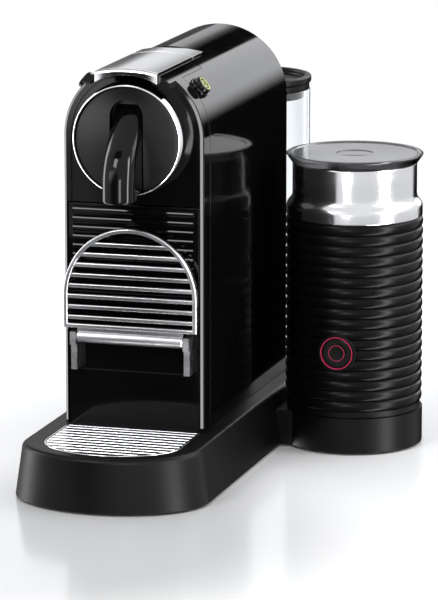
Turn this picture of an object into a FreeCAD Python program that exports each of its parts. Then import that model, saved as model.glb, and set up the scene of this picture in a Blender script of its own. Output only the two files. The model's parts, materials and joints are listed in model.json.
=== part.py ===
"""Pod coffee machine with a docked milk frother, as an assembly of separate pieces.

Working frame, in millimetres: X = 0 is the middle plane of the brewing body, Y = 0 its front face
(the drip tray is towards -Y) and Z = 0 the table. Every piece is moved by ORIGIN when it is saved,
which puts the origin at the middle of the machine's footprint.
"""
import FreeCAD, Part
import math
import os

V = FreeCAD.Vector

# Overall sizes
BASE_HALF = 65.0          # half width of the base on the table
BASE_TOP_HALF = 60.0      # half width of the base at its top
BASE_HEIGHT = 36.0
NOSE_Y = -93.0            # front of the drip tray
REAR_Y = 279.0            # back of the base
FOOT = 1.5                # height of the rubber feet
RIM_ROUND = 3.5           # rounding of the base's upper edge
ORIGIN = V(-45.0, -93.0, 0.0)

# Brewing body
BODY_HALF = 47.5          # half width, and radius of the arched top
ARCH_Z = 229.5            # height of the arch centre
BODY_REAR = 200.0
BEZEL_REAR = 16.0         # the front bezel ends here and the main shell begins
WALL = 2.5
SEAM = 0.3                # gap left at a moulded seam
RUN = 0.5                 # gap between pieces that move past each other

# Drip tray and grid
OVAL_Y = -44.0            # centre line of the rounded front
TRAY_SEAM_Y = 16.0
GRID_HALF = 46.0
GRID_FRONT = -78.5
GRID_REAR = -1.0
GRID_PITCH = 7.0
GRID_BARS = 10
GRID_RIM = 3.0

# Brewing head
RING_OUTER = 37.8
RING_INNER = 35.0
RING_FRONT = -15.0
DISC_FRONT = -13.0
SLOT_HALF = 11.3          # groove that the spout comes out of
SLOT_TOP = 26.7           # top of that groove above the arch centre
SLOT_DEPTH = 8.0
SPOUT_HALF = 10.8
SPOUT_FRONT = -40.0
SPOUT_BEND = 37.5         # radius of the spout's curved front
SPOUT_BEND_Z = 201.9
SPOUT_OUTLET_Z = 191.7
SPOUT_OUTLET_Y = -33.0
FASCIA_BOTTOM = 185.5
BREW_Z = 222.0            # axis of the capsule

# Lever and capsule cage
LEVER_HALF = 28.4
LEVER_FRONT = -15.0
LEVER_REAR = 62.0
LEVER_THICK = 3.0
LEVER_OPENING_HALF = 30.0
PIVOT_Y = 24.0
PIVOT_Z = 237.0
CRANK = 21.0              # from the lever's pivot to its crank pin
CRANK_LEAN = math.radians(37.5)   # half of the lever's swing
CAGE_TRAVEL = 2.0 * CRANK * math.sin(CRANK_LEAN)
CAGE_FRONT = 6.6
CAGE_REAR = 33.1
CAGE_RADIUS = 18.0
ARM_X = 23.4              # inner face of the lever's arms
ARM_THICK = 3.0
SPIGOT_Z = 195.5          # sliding water joint under the cage

# Push buttons on the shoulders
BUTTON_LEAN = math.radians(51.0)
BUTTON_Y = 25.2
BUTTON_RADIUS = 6.0

# Folding cup support
SUPPORT_HALF = 45.5
SUPPORT_CENTRE_Z = 125.0
SUPPORT_Y = -6.5
SUPPORT_THICK = 5.0
HINGE_Z = 97.0
BAR_PITCH = 7.0

# Water tank
TANK_HALF = 49.0
TANK_FRONT = 202.0
TANK_REAR = 277.0
TANK_TOP = 228.0
TANK_LID_TOP = 236.0
VALVE_Y = 222.0

# Milk frother, drawn about its own axis
FROTHER = V(108.0, 156.0, 0.0)
DOCK_RADIUS = 47.0
DOCK_HEIGHT = 25.0
SLEEVE_CREST = 46.2
SLEEVE_VALLEY = 45.3
SLEEVE_BOTTOM = 29.4
SLEEVE_TOP = 157.0
SLEEVE_RIBS = 18
COLLAR_RADIUS = 42.2
COLLAR_TOP = 193.2
JUG_LID_RADIUS = 46.4
JUG_LID_TOP = 200.0
FROTHER_BUTTON_Z = 70.0

saved = {}


def save(name, shape, offset=V(0, 0, 0)):
    """Move a finished piece to the machine's origin and write it."""
    piece = shape.copy()
    piece.translate(ORIGIN + offset)
    if not piece.isValid():
        raise ValueError(name + " is not a valid solid")
    piece.exportStep("parts/" + name + ".step")
    saved[name] = piece
    print(name, len(piece.Solids), round(piece.Volume / 1000.0, 2), "cm3")


def box(x, y, z):
    return Part.makeBox(x[1] - x[0], y[1] - y[0], z[1] - z[0], V(x[0], y[0], z[0]))


def rod(radius, start, end):
    axis = V(*end) - V(*start)
    return Part.makeCylinder(radius, axis.Length, V(*start), axis)


def ring(outer, inner, start, end):
    return rod(outer, start, end).cut(rod(inner, start, end))


def both_sides(shape):
    """The piece and its mirror image across the middle plane."""
    return [shape, shape.mirror(V(0, 0, 0), V(1, 0, 0))]


def prism(points, along):
    """A straight-sided solid from a flat outline of corner points."""
    corners = [V(*p) for p in points]
    return Part.Face(Part.makePolygon(corners + [corners[0]])).extrude(V(*along))


def turned(profile, radius_step=0.0):
    """A solid of revolution about the Z axis from (radius, height) corner points."""
    corners = [V(r + radius_step, 0, z) for r, z in profile]
    return Part.Face(Part.makePolygon(corners + [corners[0]])).revolve(V(0, 0, 0), V(0, 0, 1), 360)


def arch(half, floor_z, y):
    """The body's section, straight sides under a half circle, from y[0] to y[1]."""
    foot_left, foot_right = V(-half, y[0], floor_z), V(half, y[0], floor_z)
    spring_left, spring_right = V(-half, y[0], ARCH_Z), V(half, y[0], ARCH_Z)
    crown = V(0, y[0], ARCH_Z + half)
    outline = Part.Wire([
        Part.makeLine(foot_left, foot_right),
        Part.makeLine(foot_right, spring_right),
        Part.Arc(spring_right, crown, spring_left).toShape(),
        Part.makeLine(spring_left, foot_left),
    ])
    return Part.Face(outline).extrude(V(0, y[1] - y[0], 0))


def nose_outline(half, nose_y, rear_y, z, centre_y=OVAL_Y):
    """Straight sides that end in a half oval towards the front."""
    oval = Part.Ellipse(V(half, centre_y, z), V(0, nose_y, z), V(0, centre_y, z))
    return Part.Wire([
        Part.makeLine(V(-half, rear_y, z), V(half, rear_y, z)),
        Part.makeLine(V(half, rear_y, z), V(half, centre_y, z)),
        Part.ArcOfEllipse(oval, 0, math.pi).toShape(),
        Part.makeLine(V(-half, centre_y, z), V(-half, rear_y, z)),
    ])


def tail_outline(half, front_y, rear_y, radius, z, front_radius=0.0):
    """A rectangle with rounded rear corners, and rounded front ones where asked."""
    slab = Part.Face(Part.makePolygon([
        V(-half, front_y, z), V(half, front_y, z), V(half, rear_y, z), V(-half, rear_y, z),
        V(-half, front_y, z)])).extrude(V(0, 0, 1))
    rear, front = [], []
    for edge in slab.Edges:
        spot = edge.CenterOfMass
        if abs(spot.z - z - 0.5) < 0.01:
            (rear if spot.y > (front_y + rear_y) / 2.0 else front).append(edge)
    rounded = slab.makeFillet(radius, rear)
    if front_radius:
        front = [e for e in rounded.Edges
                 if abs(e.CenterOfMass.z - z - 0.5) < 0.01 and abs(e.CenterOfMass.y - front_y) < 0.01]
        rounded = rounded.makeFillet(front_radius, front)
    floor = [f for f in rounded.Faces if abs(f.CenterOfMass.z - z) < 0.01][0]
    return floor.OuterWire


def loft(lower, upper):
    return Part.makeLoft([lower, upper], True, True)


def straight(outline, height):
    return Part.Face(outline).extrude(V(0, 0, height))


def round_top(shape, z, radius, keep_y):
    """Round the outer edge of a top face, except along the seam at keep_y."""
    edges = [e for e in shape.Edges if abs(e.BoundBox.ZMin - z) < 0.01 and abs(e.BoundBox.ZMax - z) < 0.01
             and abs(e.CenterOfMass.y - keep_y) > 0.1]
    return shape.makeFillet(radius, edges)


def hose(points, radius):
    """A tube along straight runs, with a ball at every bend."""
    spots = [V(*p) for p in points]
    run = Part.makeCylinder(radius, (spots[1] - spots[0]).Length, spots[0], spots[1] - spots[0])
    for start, end in zip(spots[1:], spots[2:]):
        run = run.fuse(Part.makeSphere(radius, start))
        run = run.fuse(Part.makeCylinder(radius, (end - start).Length, start, end - start))
    return run.removeSplitter()


def base_housing():
    outer = loft(tail_outline(BASE_HALF, TRAY_SEAM_Y + SEAM, REAR_Y, 34.0, FOOT),
                 tail_outline(BASE_TOP_HALF, TRAY_SEAM_Y + SEAM, REAR_Y - 4.0, 30.0, BASE_HEIGHT))
    outer = round_top(outer, BASE_HEIGHT, RIM_ROUND, TRAY_SEAM_Y + SEAM)
    inner = loft(tail_outline(BASE_HALF - WALL, TRAY_SEAM_Y + SEAM + WALL, REAR_Y - WALL, 31.5, FOOT),
                 tail_outline(BASE_TOP_HALF - WALL, TRAY_SEAM_Y + SEAM + WALL, REAR_Y - 4.0 - WALL, 27.5,
                              BASE_HEIGHT - WALL))
    dock = rod(DOCK_RADIUS, FROTHER + V(0, 0, FOOT), FROTHER + V(0, 0, DOCK_HEIGHT))
    dock_inner = rod(DOCK_RADIUS - WALL, FROTHER + V(0, 0, FOOT), FROTHER + V(0, 0, DOCK_HEIGHT - WALL))
    bridge = box((55.0, 90.0), (124.0, 188.0), (FOOT, DOCK_HEIGHT))
    bridge_inner = box((50.0, 90.0), (124.0 + WALL, 188.0 - WALL), (FOOT, DOCK_HEIGHT - WALL))
    housing = outer.fuse([dock, bridge]).cut(inner.fuse([dock_inner, bridge_inner]))
    service_hole = box((-36.0, 36.0), (128.0, 190.0), (BASE_HEIGHT - 5.0, BASE_HEIGHT + 1.0))
    valve_hole = rod(14.0, (0, VALVE_Y, BASE_HEIGHT - 5.0), (0, VALVE_Y, BASE_HEIGHT + 1.0))
    plug_hole = rod(8.3, FROTHER + V(0, 0, DOCK_HEIGHT - 5.0), FROTHER + V(0, 0, DOCK_HEIGHT + 1.0))
    gland_hole = rod(6.1, (-20.0, 265.0, 16.0), (-20.0, 285.0, 16.0))
    return housing.cut([service_hole, valve_hole, plug_hole, gland_hole])


def bottom_cover():
    edge = BASE_HALF - WALL - SEAM
    plate = straight(tail_outline(edge - 0.3, TRAY_SEAM_Y + WALL + 2 * SEAM, REAR_Y - WALL - 2 * SEAM, 31.0, FOOT),
                     2.0)
    dock = rod(DOCK_RADIUS - WALL - SEAM, FROTHER + V(0, 0, FOOT), FROTHER + V(0, 0, FOOT + 2.0))
    bridge = box((50.0, 90.0), (124.0 + WALL + SEAM, 188.0 - WALL - SEAM), (FOOT, FOOT + 2.0))
    return plate.fuse([dock, bridge]).removeSplitter()


FOOT_SPOTS = [(-50.0, 34.0), (50.0, 34.0), (-48.0, 245.0), (48.0, 245.0), (133.0, 156.0)]
SCREW_SPOTS = [(-50.0, 60.0), (50.0, 60.0), (-50.0, 215.0), (50.0, 215.0), (108.0, 180.0), (108.0, 132.0)]


def rubber_feet():
    return Part.Compound([rod(8.0, (x, y, 0.0), (x, y, FOOT)) for x, y in FOOT_SPOTS])


def base_screws():
    """Short screws whose heads lie in the cover and whose shanks reach up inside the base."""
    return Part.Compound([rod(1.5, (x, y, FOOT + 2.0), (x, y, FOOT + 12.0)) for x, y in SCREW_SPOTS])


def cord_gland():
    """The rubber bush where the mains lead enters the base."""
    return ring(6.0, 3.2, (-20.0, 268.0, 16.0), (-20.0, 278.5, 16.0))


def lever_gap_tool(half, rear_y, side_drop, z_low):
    """A cutter with the lever's plan outline: straight sides and a bowed rear edge."""
    left, right = V(-half, rear_y - side_drop, z_low), V(half, rear_y - side_drop, z_low)
    outline = Part.Wire([
        Part.makeLine(V(-half, -40.0, z_low), V(half, -40.0, z_low)),
        Part.makeLine(V(half, -40.0, z_low), right),
        Part.Arc(right, V(0, rear_y, z_low), left).toShape(),
        Part.makeLine(left, V(-half, -40.0, z_low)),
    ])
    return straight(outline, 80.0)


def shoulder(side, depth_in, depth_out, radius):
    """A round tool square to the shoulder, from depth_in below the skin to depth_out above it."""
    out = V(side * math.sin(BUTTON_LEAN), 0, math.cos(BUTTON_LEAN))
    skin = V(0, BUTTON_Y, ARCH_Z) + out * BODY_HALF
    return Part.makeCylinder(radius, depth_in + depth_out, skin - out * depth_in, out)


def main_shell():
    y = (BEZEL_REAR + SEAM, BODY_REAR)
    shell = arch(BODY_HALF, BASE_HEIGHT, y).cut(arch(BODY_HALF - WALL, BASE_HEIGHT, y))
    shell = shell.cut(lever_gap_tool(LEVER_OPENING_HALF, LEVER_REAR + 3.6, 5.0, 240.0))
    return shell.cut([shoulder(side, 8.0, 8.0, 7.3) for side in (-1, 1)])


def front_bezel():
    """The arched front frame. It steps down under the lever and leaves the capsule slot open."""
    bottom = BASE_HEIGHT + 0.8
    frame = arch(BODY_HALF, bottom, (0.0, BEZEL_REAR))
    rim = [e for e in frame.Edges if abs(e.CenterOfMass.y) < 0.01 and e.CenterOfMass.z > bottom + 1.0]
    frame = frame.makeFillet(1.6, rim)
    legs_gap = box((-45.0, 45.0), (-1.0, BEZEL_REAR + 1.0), (bottom - 1.0, FASCIA_BOTTOM))
    head_gap = arch(42.0, FASCIA_BOTTOM, (-1.0, BEZEL_REAR + 1.0))
    step = lever_gap_tool(LEVER_OPENING_HALF, 80.0, 0.1, 240.0).cut(
        rod(44.0, (0, -50.0, ARCH_Z), (0, 90.0, ARCH_Z)))
    capsule_slot = box((-20.0, 20.0), (5.5, BEZEL_REAR + 1.0), (240.0, 290.0))
    return frame.cut([legs_gap, head_gap, step, capsule_slot])


def head_fascia():
    plate = arch(41.8, FASCIA_BOTTOM, (0.8, 3.4))
    return plate.cut(rod(5.2, (0, -1.0, BREW_Z), (0, 5.0, BREW_Z)))


def slot_tool(half, top, y):
    """An upright groove with a round top, open at the bottom."""
    centre_z = ARCH_Z + top - half
    return rod(half, (0, y[0], centre_z), (0, y[1], centre_z)).fuse(
        box((-half, half), y, (150.0, centre_z)))


def head_disc():
    disc = rod(RING_INNER - 0.1, (0, DISC_FRONT, ARCH_Z), (0, 0.7, ARCH_Z))
    disc = disc.cut(slot_tool(SLOT_HALF, SLOT_TOP, (DISC_FRONT - 1.0, DISC_FRONT + SLOT_DEPTH)))
    return disc.cut(rod(5.2, (0, DISC_FRONT, BREW_Z), (0, 2.0, BREW_Z)))


def chrome_ring():
    return ring(RING_OUTER, RING_INNER, (0, RING_FRONT, ARCH_Z), (0, 0.7, ARCH_Z))


def spout():
    """The curved nose that leads the coffee forward and down into the cup."""
    back = DISC_FRONT + SLOT_DEPTH - 0.2
    bend_y = SPOUT_FRONT + SPOUT_BEND
    lean = SPOUT_BEND * math.sqrt(0.5)
    start = V(0, bend_y - lean, SPOUT_BEND_Z + lean)
    middle = V(0, bend_y - SPOUT_BEND * math.cos(math.pi / 8), SPOUT_BEND_Z + SPOUT_BEND * math.sin(math.pi / 8))
    end = V(0, SPOUT_FRONT, SPOUT_BEND_Z)
    top = V(0, back, start.z + (back - start.y))
    corners = [V(0, SPOUT_FRONT, SPOUT_OUTLET_Z + 1.5), V(0, SPOUT_FRONT + 1.5, SPOUT_OUTLET_Z),
               V(0, SPOUT_OUTLET_Y + 5.5, SPOUT_OUTLET_Z), V(0, SPOUT_OUTLET_Y + 8.5, SPOUT_OUTLET_Z + 5.7),
               V(0, back, SPOUT_OUTLET_Z + 6.2), top]
    edges = [Part.makeLine(top, start), Part.Arc(start, middle, end).toShape(), Part.makeLine(end, corners[0])]
    edges += [Part.makeLine(a, b) for a, b in zip(corners, corners[1:])]
    nose = Part.Face(Part.Wire(edges)).extrude(V(2 * SPOUT_HALF, 0, 0))
    nose.translate(V(-SPOUT_HALF, 0, 0))
    front = [e for e in nose.Edges if abs(abs(e.CenterOfMass.x) - SPOUT_HALF) < 0.01
             and e.CenterOfMass.z > SPOUT_OUTLET_Z + 1.6 and e.CenterOfMass.y < -12.0
             and e.CenterOfMass.y < SPOUT_OUTLET_Y + 26.0 - 0.5 * (e.CenterOfMass.z < SPOUT_OUTLET_Z + 7.0) * 60.0]
    nose = nose.makeFillet(4.0, front)
    nose = nose.common(slot_tool(SPOUT_HALF, SLOT_TOP - 0.5, (SPOUT_FRONT - 1.0, 0.0)))
    channel = hose([(0, back + 1.0, BREW_Z), (0, -22.0, BREW_Z), (0, SPOUT_OUTLET_Y, SPOUT_BEND_Z + 4.0),
                    (0, SPOUT_OUTLET_Y, SPOUT_OUTLET_Z - 1.0)], 4.0)
    return nose.cut(channel)


def rear_panel():
    return arch(BODY_HALF - WALL - 0.1, BASE_HEIGHT, (BODY_REAR - 2.6, BODY_REAR - 0.1))


def inner_frame():
    """A bulkhead behind the capsule container, with a shelf above it and brackets for the pump."""
    wide = BODY_HALF - WALL - 0.1
    bulkhead = box((-wide, wide), (114.0, 117.0), (BASE_HEIGHT, 187.0))
    shelf = box((-wide, wide), (BEZEL_REAR + 1.0, 114.0), (184.6, 187.0))
    drop = box((-33.0, 33.0), (BEZEL_REAR, 62.0), (180.0, 190.0))
    pump_rests = [box((-42.0, 2.0), (117.0, 138.0), (z, z + 6.0)) for z in (55.0, 120.0)]
    block_rest = box((-34.0, 34.0), (117.0, 188.0), (145.0, 148.0))
    port = rod(6.0, (-20.0, 160.0, 144.0), (-20.0, 160.0, 149.0))
    return bulkhead.fuse([shelf, block_rest] + pump_rests).cut([drop, port])


def brew_frame():
    """Side cheeks, floor and rear wall that carry the lever, the cage rails and the water joint."""
    cheeks = both_sides(box((28.5, 31.5), (6.0, 88.0), (187.0, 247.0)))
    floor = box((-31.5, 31.5), (6.0, 88.0), (187.0, 189.0))
    rear = box((-31.5, 31.5), (85.0, 88.0), (187.0, 247.0))
    rails = both_sides(box((22.8, 28.5), (6.0, 54.0), (213.0, 216.0)))
    frame = cheeks[0].fuse([cheeks[1], floor, rear] + rails)
    drop = box((-20.5, 20.5), (0.0, 62.0), (180.0, 190.0))
    pivots = rod(3.02, (-40.0, PIVOT_Y, PIVOT_Z), (40.0, PIVOT_Y, PIVOT_Z))
    joint_hole = rod(5.05, (0, 80.0, SPIGOT_Z), (0, 95.0, SPIGOT_Z))
    return frame.cut([drop, pivots, joint_hole])


def front_brew_plate():
    """The fixed plate that the capsule is pressed against, with its coffee outlet."""
    plate = rod(19.0, (0, 3.6, BREW_Z), (0, 6.2, BREW_Z))
    nozzle = rod(4.6, (0, DISC_FRONT + SLOT_DEPTH + 1.0, BREW_Z), (0, 3.6, BREW_Z))
    bore = rod(2.5, (0, -20.0, BREW_Z), (0, 10.0, BREW_Z))
    ears = box((-31.5, 31.5), (3.6, 5.9), (BREW_Z - 32.0, BREW_Z - 17.0))
    drop = box((-20.5, 20.5), (0.0, 62.0), (180.0, BREW_Z - 18.5))
    return plate.fuse([nozzle, ears]).cut(bore).cut(drop)


def capsule_guide():
    """The frame round the capsule slot: two curved side strips and a bar behind the slot."""
    strips = ring(42.4, 41.0, (0, BEZEL_REAR + SEAM, ARCH_Z), (0, 34.2, ARCH_Z))
    strips = strips.common(box((-22.8, 22.8), (0.0, 60.0), (250.0, 280.0)))
    strips = strips.cut(box((-20.0, 20.0), (0.0, 60.0), (250.0, 290.0)))
    bar = box((-22.8, 22.8), (31.6, 34.2), (263.6, 265.4))
    return strips.fuse(bar).removeSplitter()


def capsule_cage():
    """The sliding cup that closes over the capsule, with slotted lugs for the lever's crank pins."""
    cup = rod(CAGE_RADIUS, (0, CAGE_FRONT, BREW_Z), (0, CAGE_REAR, BREW_Z))
    hollow = Part.makeCone(15.6, 12.5, 23.0, V(0, CAGE_FRONT, BREW_Z), V(0, 1, 0))
    groove = ring(17.4, 16.2, (0, CAGE_FRONT - 1.0, BREW_Z), (0, CAGE_FRONT + 1.6, BREW_Z))
    pin_y = PIVOT_Y - CRANK * math.sin(CRANK_LEAN)
    pin_low = PIVOT_Z + CRANK * math.cos(CRANK_LEAN)
    lug = box((19.5, 22.5), (pin_y - 5.2, pin_y + 5.6), (216.3, PIVOT_Z + CRANK + 5.0))
    web = box((12.0, 22.5), (CAGE_FRONT + 2.0, pin_y + 5.6), (216.3, 230.0))
    wing = box((15.0, 26.0), (CAGE_FRONT + 2.0, 27.0), (216.3, 219.0))
    slot = box((18.0, 24.0), (pin_y - 3.05, pin_y + 3.05), (pin_low - 3.1, PIVOT_Z + CRANK + 3.0))
    boss = box((-5.0, 5.0), (28.0, CAGE_REAR), (191.6, 207.0))
    spigot = rod(3.0, (0, CAGE_REAR - 1.0, SPIGOT_Z), (0, 75.0, SPIGOT_Z))
    bore = rod(1.5, (0, 30.0, SPIGOT_Z), (0, 76.0, SPIGOT_Z))
    riser = rod(1.5, (0, 31.0, SPIGOT_Z), (0, 31.0, BREW_Z))
    pieces = both_sides(lug) + both_sides(web) + both_sides(wing) + [boss, spigot]
    cage = cup.fuse(pieces).cut([hollow, groove, bore, riser] + both_sides(slot))
    return cage.removeSplitter()


def cage_seal():
    return ring(17.3, 16.3, (0, CAGE_FRONT - 0.2, BREW_Z), (0, CAGE_FRONT + 1.6, BREW_Z))


def piercing_needles():
    """Three spikes on the cage's floor that open the capsule."""
    floor_y = CAGE_FRONT + 23.0
    spikes = []
    for turn in (90.0, 210.0, 330.0):
        x = 6.0 * math.cos(math.radians(turn))
        z = BREW_Z + 6.0 * math.sin(math.radians(turn))
        spikes.append(Part.makeCone(1.4, 0.3, 5.0, V(x, floor_y, z), V(0, -1, 0)))
    return Part.Compound(spikes)


def lever_handle():
    """The curved top plate with its front lip and the two arms that hang inside the body."""
    inner = BODY_HALF - LEVER_THICK
    reach = (LEVER_FRONT, LEVER_REAR)
    plate = ring(BODY_HALF, inner, (0, reach[0], ARCH_Z), (0, reach[1], ARCH_Z))
    lip = ring(BODY_HALF, inner - 1.0, (0, reach[0], ARCH_Z), (0, reach[0] + 4.0, ARCH_Z))
    plan = lever_gap_tool(LEVER_HALF, LEVER_REAR, 5.0, 240.0)
    plate = plate.fuse(lip).common(plan).removeSplitter()
    across = (ARM_THICK, 0, 0)
    outer_x = ARM_X + ARM_THICK
    arm = prism([(ARM_X, PIVOT_Y - 7.0, PIVOT_Z - 3.0), (ARM_X, PIVOT_Y - 7.0, 275.0),
                 (ARM_X, PIVOT_Y + 12.0, 275.0), (ARM_X, PIVOT_Y + 7.0, PIVOT_Z - 3.0)], across)
    hub = rod(7.0, (ARM_X, PIVOT_Y, PIVOT_Z), (outer_x, PIVOT_Y, PIVOT_Z))
    pin_y = PIVOT_Y - CRANK * math.sin(CRANK_LEAN)
    pin_z = PIVOT_Z + CRANK * math.cos(CRANK_LEAN)
    horn = rod(4.6, (ARM_X, pin_y, pin_z), (outer_x, pin_y, pin_z))
    horn_web = prism([(ARM_X, pin_y, pin_z - 4.6), (ARM_X, pin_y, pin_z + 4.6), (ARM_X, PIVOT_Y, PIVOT_Z + 27.0),
                      (ARM_X, PIVOT_Y, PIVOT_Z)], across)
    arm = arm.fuse([hub, horn, horn_web]).common(rod(46.0, (0, -20.0, ARCH_Z), (0, 90.0, ARCH_Z)))
    arm = arm.cut(rod(3.06, (20.0, PIVOT_Y, PIVOT_Z), (30.0, PIVOT_Y, PIVOT_Z)))
    arm = arm.cut(rod(2.51, (20.0, pin_y, pin_z), (30.0, pin_y, pin_z)))
    return plate.fuse(both_sides(arm)).removeSplitter()


def crank_pins():
    pin_y = PIVOT_Y - CRANK * math.sin(CRANK_LEAN)
    pin_z = PIVOT_Z + CRANK * math.cos(CRANK_LEAN)
    return Part.Compound(both_sides(rod(2.5, (19.8, pin_y, pin_z), (ARM_X + ARM_THICK, pin_y, pin_z))))


def lever_pivots():
    return Part.Compound(both_sides(rod(3.0, (ARM_X, PIVOT_Y, PIVOT_Z), (31.5, PIVOT_Y, PIVOT_Z))))


def shoulder_button(side):
    """A round cap on a stem that passes through the shell."""
    cap = shoulder(side, -2.4, 5.6, BUTTON_RADIUS)
    stem = shoulder(side, 5.5, 2.4, 4.6)
    return cap.fuse(stem).removeSplitter()


def button_collars():
    """The dark raised rings that the two push buttons sit in."""
    collars = []
    for side in (-1, 1):
        rim = shoulder(side, 4.0, 2.2, 7.2)
        bore = shoulder(side, 5.0, 3.0, 4.9)
        recess = shoulder(side, -0.6, 3.0, 6.3)
        collars.append(rim.cut([bore, recess]))
    return Part.Compound(collars)


def button_switches():
    """A small switch block under each push button."""
    return Part.Compound([shoulder(side, 9.8, -7.4, 3.5) for side in (-1, 1)])


PUMP_X, PUMP_Y = -20.0, 160.0


def pump_body():
    case = rod(18.0, (PUMP_X, PUMP_Y, 46.0), (PUMP_X, PUMP_Y, 140.0))
    bore = rod(8.0, (PUMP_X, PUMP_Y, 66.0), (PUMP_X, PUMP_Y, 124.0))
    port = rod(2.0, (PUMP_X, PUMP_Y, 40.0), (PUMP_X, PUMP_Y, 145.0))
    return case.cut([bore, port])


def pump_plunger():
    return ring(7.7, 2.0, (PUMP_X, PUMP_Y, 76.0), (PUMP_X, PUMP_Y, 108.0))


def pump_mounts():
    """Two rubber blocks that hold the pump off the frame."""
    blocks = []
    for z in (55.0, 120.0):
        block = box((-42.0, 2.0), (138.1, 182.0), (z, z + 6.0))
        blocks.append(block.cut(rod(18.05, (PUMP_X, PUMP_Y, z - 1.0), (PUMP_X, PUMP_Y, z + 7.0))))
    return Part.Compound(blocks)


def thermoblock():
    """The cast water heater, with cooling ribs on its top."""
    block = box((-30.0, 30.0), (130.0, 186.0), (148.1, 196.0))
    ribs = [box((-30.0, 30.0), (134.0 + 12.0 * i, 138.0 + 12.0 * i), (195.0, 206.0)) for i in range(5)]
    inlet = rod(2.2, (PUMP_X, PUMP_Y, 147.0), (PUMP_X, PUMP_Y, 165.0))
    outlet = rod(2.2, (0, 129.0, SPIGOT_Z - 6.0), (0, 150.0, SPIGOT_Z - 6.0))
    return block.fuse(ribs).cut([inlet, outlet])


FLOW_METER_X, FLOW_METER_Y = 24.0, 158.0


def flow_meter():
    case = rod(13.0, (FLOW_METER_X, FLOW_METER_Y, BASE_HEIGHT + 8.0), (FLOW_METER_X, FLOW_METER_Y, BASE_HEIGHT + 26.0))
    inlet = rod(4.5, (FLOW_METER_X, FLOW_METER_Y, BASE_HEIGHT), (FLOW_METER_X, FLOW_METER_Y, BASE_HEIGHT + 8.0))
    return case.fuse(inlet)


def control_board():
    board = box((38.0, 39.6), (124.0, 192.0), (60.0, 140.0))
    transformer = box((26.0, 38.0), (130.0, 152.0), (96.0, 122.0))
    relay = box((30.0, 38.0), (164.0, 184.0), (104.0, 120.0))
    capacitor = rod(5.0, (26.0, 176.0, 132.0), (38.0, 176.0, 132.0))
    return board.fuse([transformer, relay, capacitor])


def suction_hose():
    """From the tank socket, under the deck, up to the flow meter."""
    return hose([(0, VALVE_Y, 27.8), (0, VALVE_Y, 20.0), (FLOW_METER_X, VALVE_Y - 20.0, 20.0),
                 (FLOW_METER_X, FLOW_METER_Y, 20.0), (FLOW_METER_X, FLOW_METER_Y, BASE_HEIGHT - 0.1)], 4.0)


def pump_hose():
    """From the flow meter's side across to the foot of the pump."""
    return hose([(FLOW_METER_X - 13.1, FLOW_METER_Y, 53.0), (6.0, FLOW_METER_Y, 53.0), (6.0, FLOW_METER_Y, 41.0),
                 (PUMP_X, PUMP_Y, 41.0), (PUMP_X, PUMP_Y, 45.9)], 3.0)


def pressure_hose():
    return rod(4.0, (PUMP_X, PUMP_Y, 140.1), (PUMP_X, PUMP_Y, 148.0))


def brew_hose():
    """From the heater's outlet forward to the sliding water joint."""
    return hose([(0, 129.9, SPIGOT_Z - 6.0), (0, 124.0, SPIGOT_Z - 6.0), (0, 115.0, SPIGOT_Z),
                 (0, 108.1, SPIGOT_Z)], 3.0)


def water_hoses():
    return Part.Compound([suction_hose(), pump_hose(), pressure_hose(), brew_hose()])


def brew_inlet():
    """The fixed sleeve that the cage's spigot slides in."""
    return ring(5.0, 3.1, (0, 62.0, SPIGOT_Z), (0, 108.0, SPIGOT_Z))


def tank_socket():
    """The rubber seat that the tank's valve plugs into."""
    seat = rod(13.8, (0, VALVE_Y, 28.0), (0, VALVE_Y, BASE_HEIGHT))
    return seat.cut(rod(8.5, (0, VALVE_Y, 30.0), (0, VALVE_Y, 40.0)))


def drip_tray():
    """The black front basin with its flat rim and the seat for the grid."""
    outer = loft(nose_outline(BASE_HALF, NOSE_Y, TRAY_SEAM_Y, FOOT),
                 nose_outline(BASE_TOP_HALF, NOSE_Y + 4.0, TRAY_SEAM_Y, BASE_HEIGHT))
    outer = round_top(outer, BASE_HEIGHT, RIM_ROUND, TRAY_SEAM_Y)
    floor_z, deck_z = FOOT + 2.5, BASE_HEIGHT - 5.0
    inner = loft(nose_outline(BASE_HALF - WALL - 0.3, NOSE_Y + WALL + 0.3, TRAY_SEAM_Y - WALL, floor_z),
                 nose_outline(BASE_TOP_HALF - WALL + 0.7, NOSE_Y + 3.4 + WALL, TRAY_SEAM_Y - WALL, deck_z))
    mouth = straight(nose_outline(GRID_HALF - 2.6, GRID_FRONT + 2.6, GRID_REAR - 1.0, deck_z - 1.0), 20.0)
    seat = straight(nose_outline(GRID_HALF + RUN, GRID_FRONT - RUN, GRID_REAR + RUN, BASE_HEIGHT - 2.4), 20.0)
    return outer.cut([inner, mouth, seat])


def tray_feet():
    return Part.Compound([rod(6.0, (x, y, 0.0), (x, y, FOOT)) for x, y in ((-44.0, -50.0), (44.0, -50.0), (0.0, -80.0))])


def drip_grid():
    """The lift-out grid: a plate with one slot between every two bars."""
    plate = straight(nose_outline(GRID_HALF, GRID_FRONT, GRID_REAR, BASE_HEIGHT - 2.2), 2.4)
    slots = []
    for i in range(GRID_BARS):
        y = GRID_REAR - 4.0 - GRID_PITCH * i
        reach = GRID_HALF - GRID_RIM
        if y - 3.2 < OVAL_Y:
            depth = (OVAL_Y - (y - 3.2)) / (OVAL_Y - GRID_FRONT - GRID_RIM)
            reach = (GRID_HALF - GRID_RIM) * math.sqrt(max(0.0, 1.0 - depth * depth))
        if reach > 6.0:
            slots.append(box((-reach, reach), (y - 3.2, y), (BASE_HEIGHT - 5.0, BASE_HEIGHT + 3.0)))
    return plate.cut(slots)


RIB_PITCH = 6.0
RIB_COUNT = 13


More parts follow.
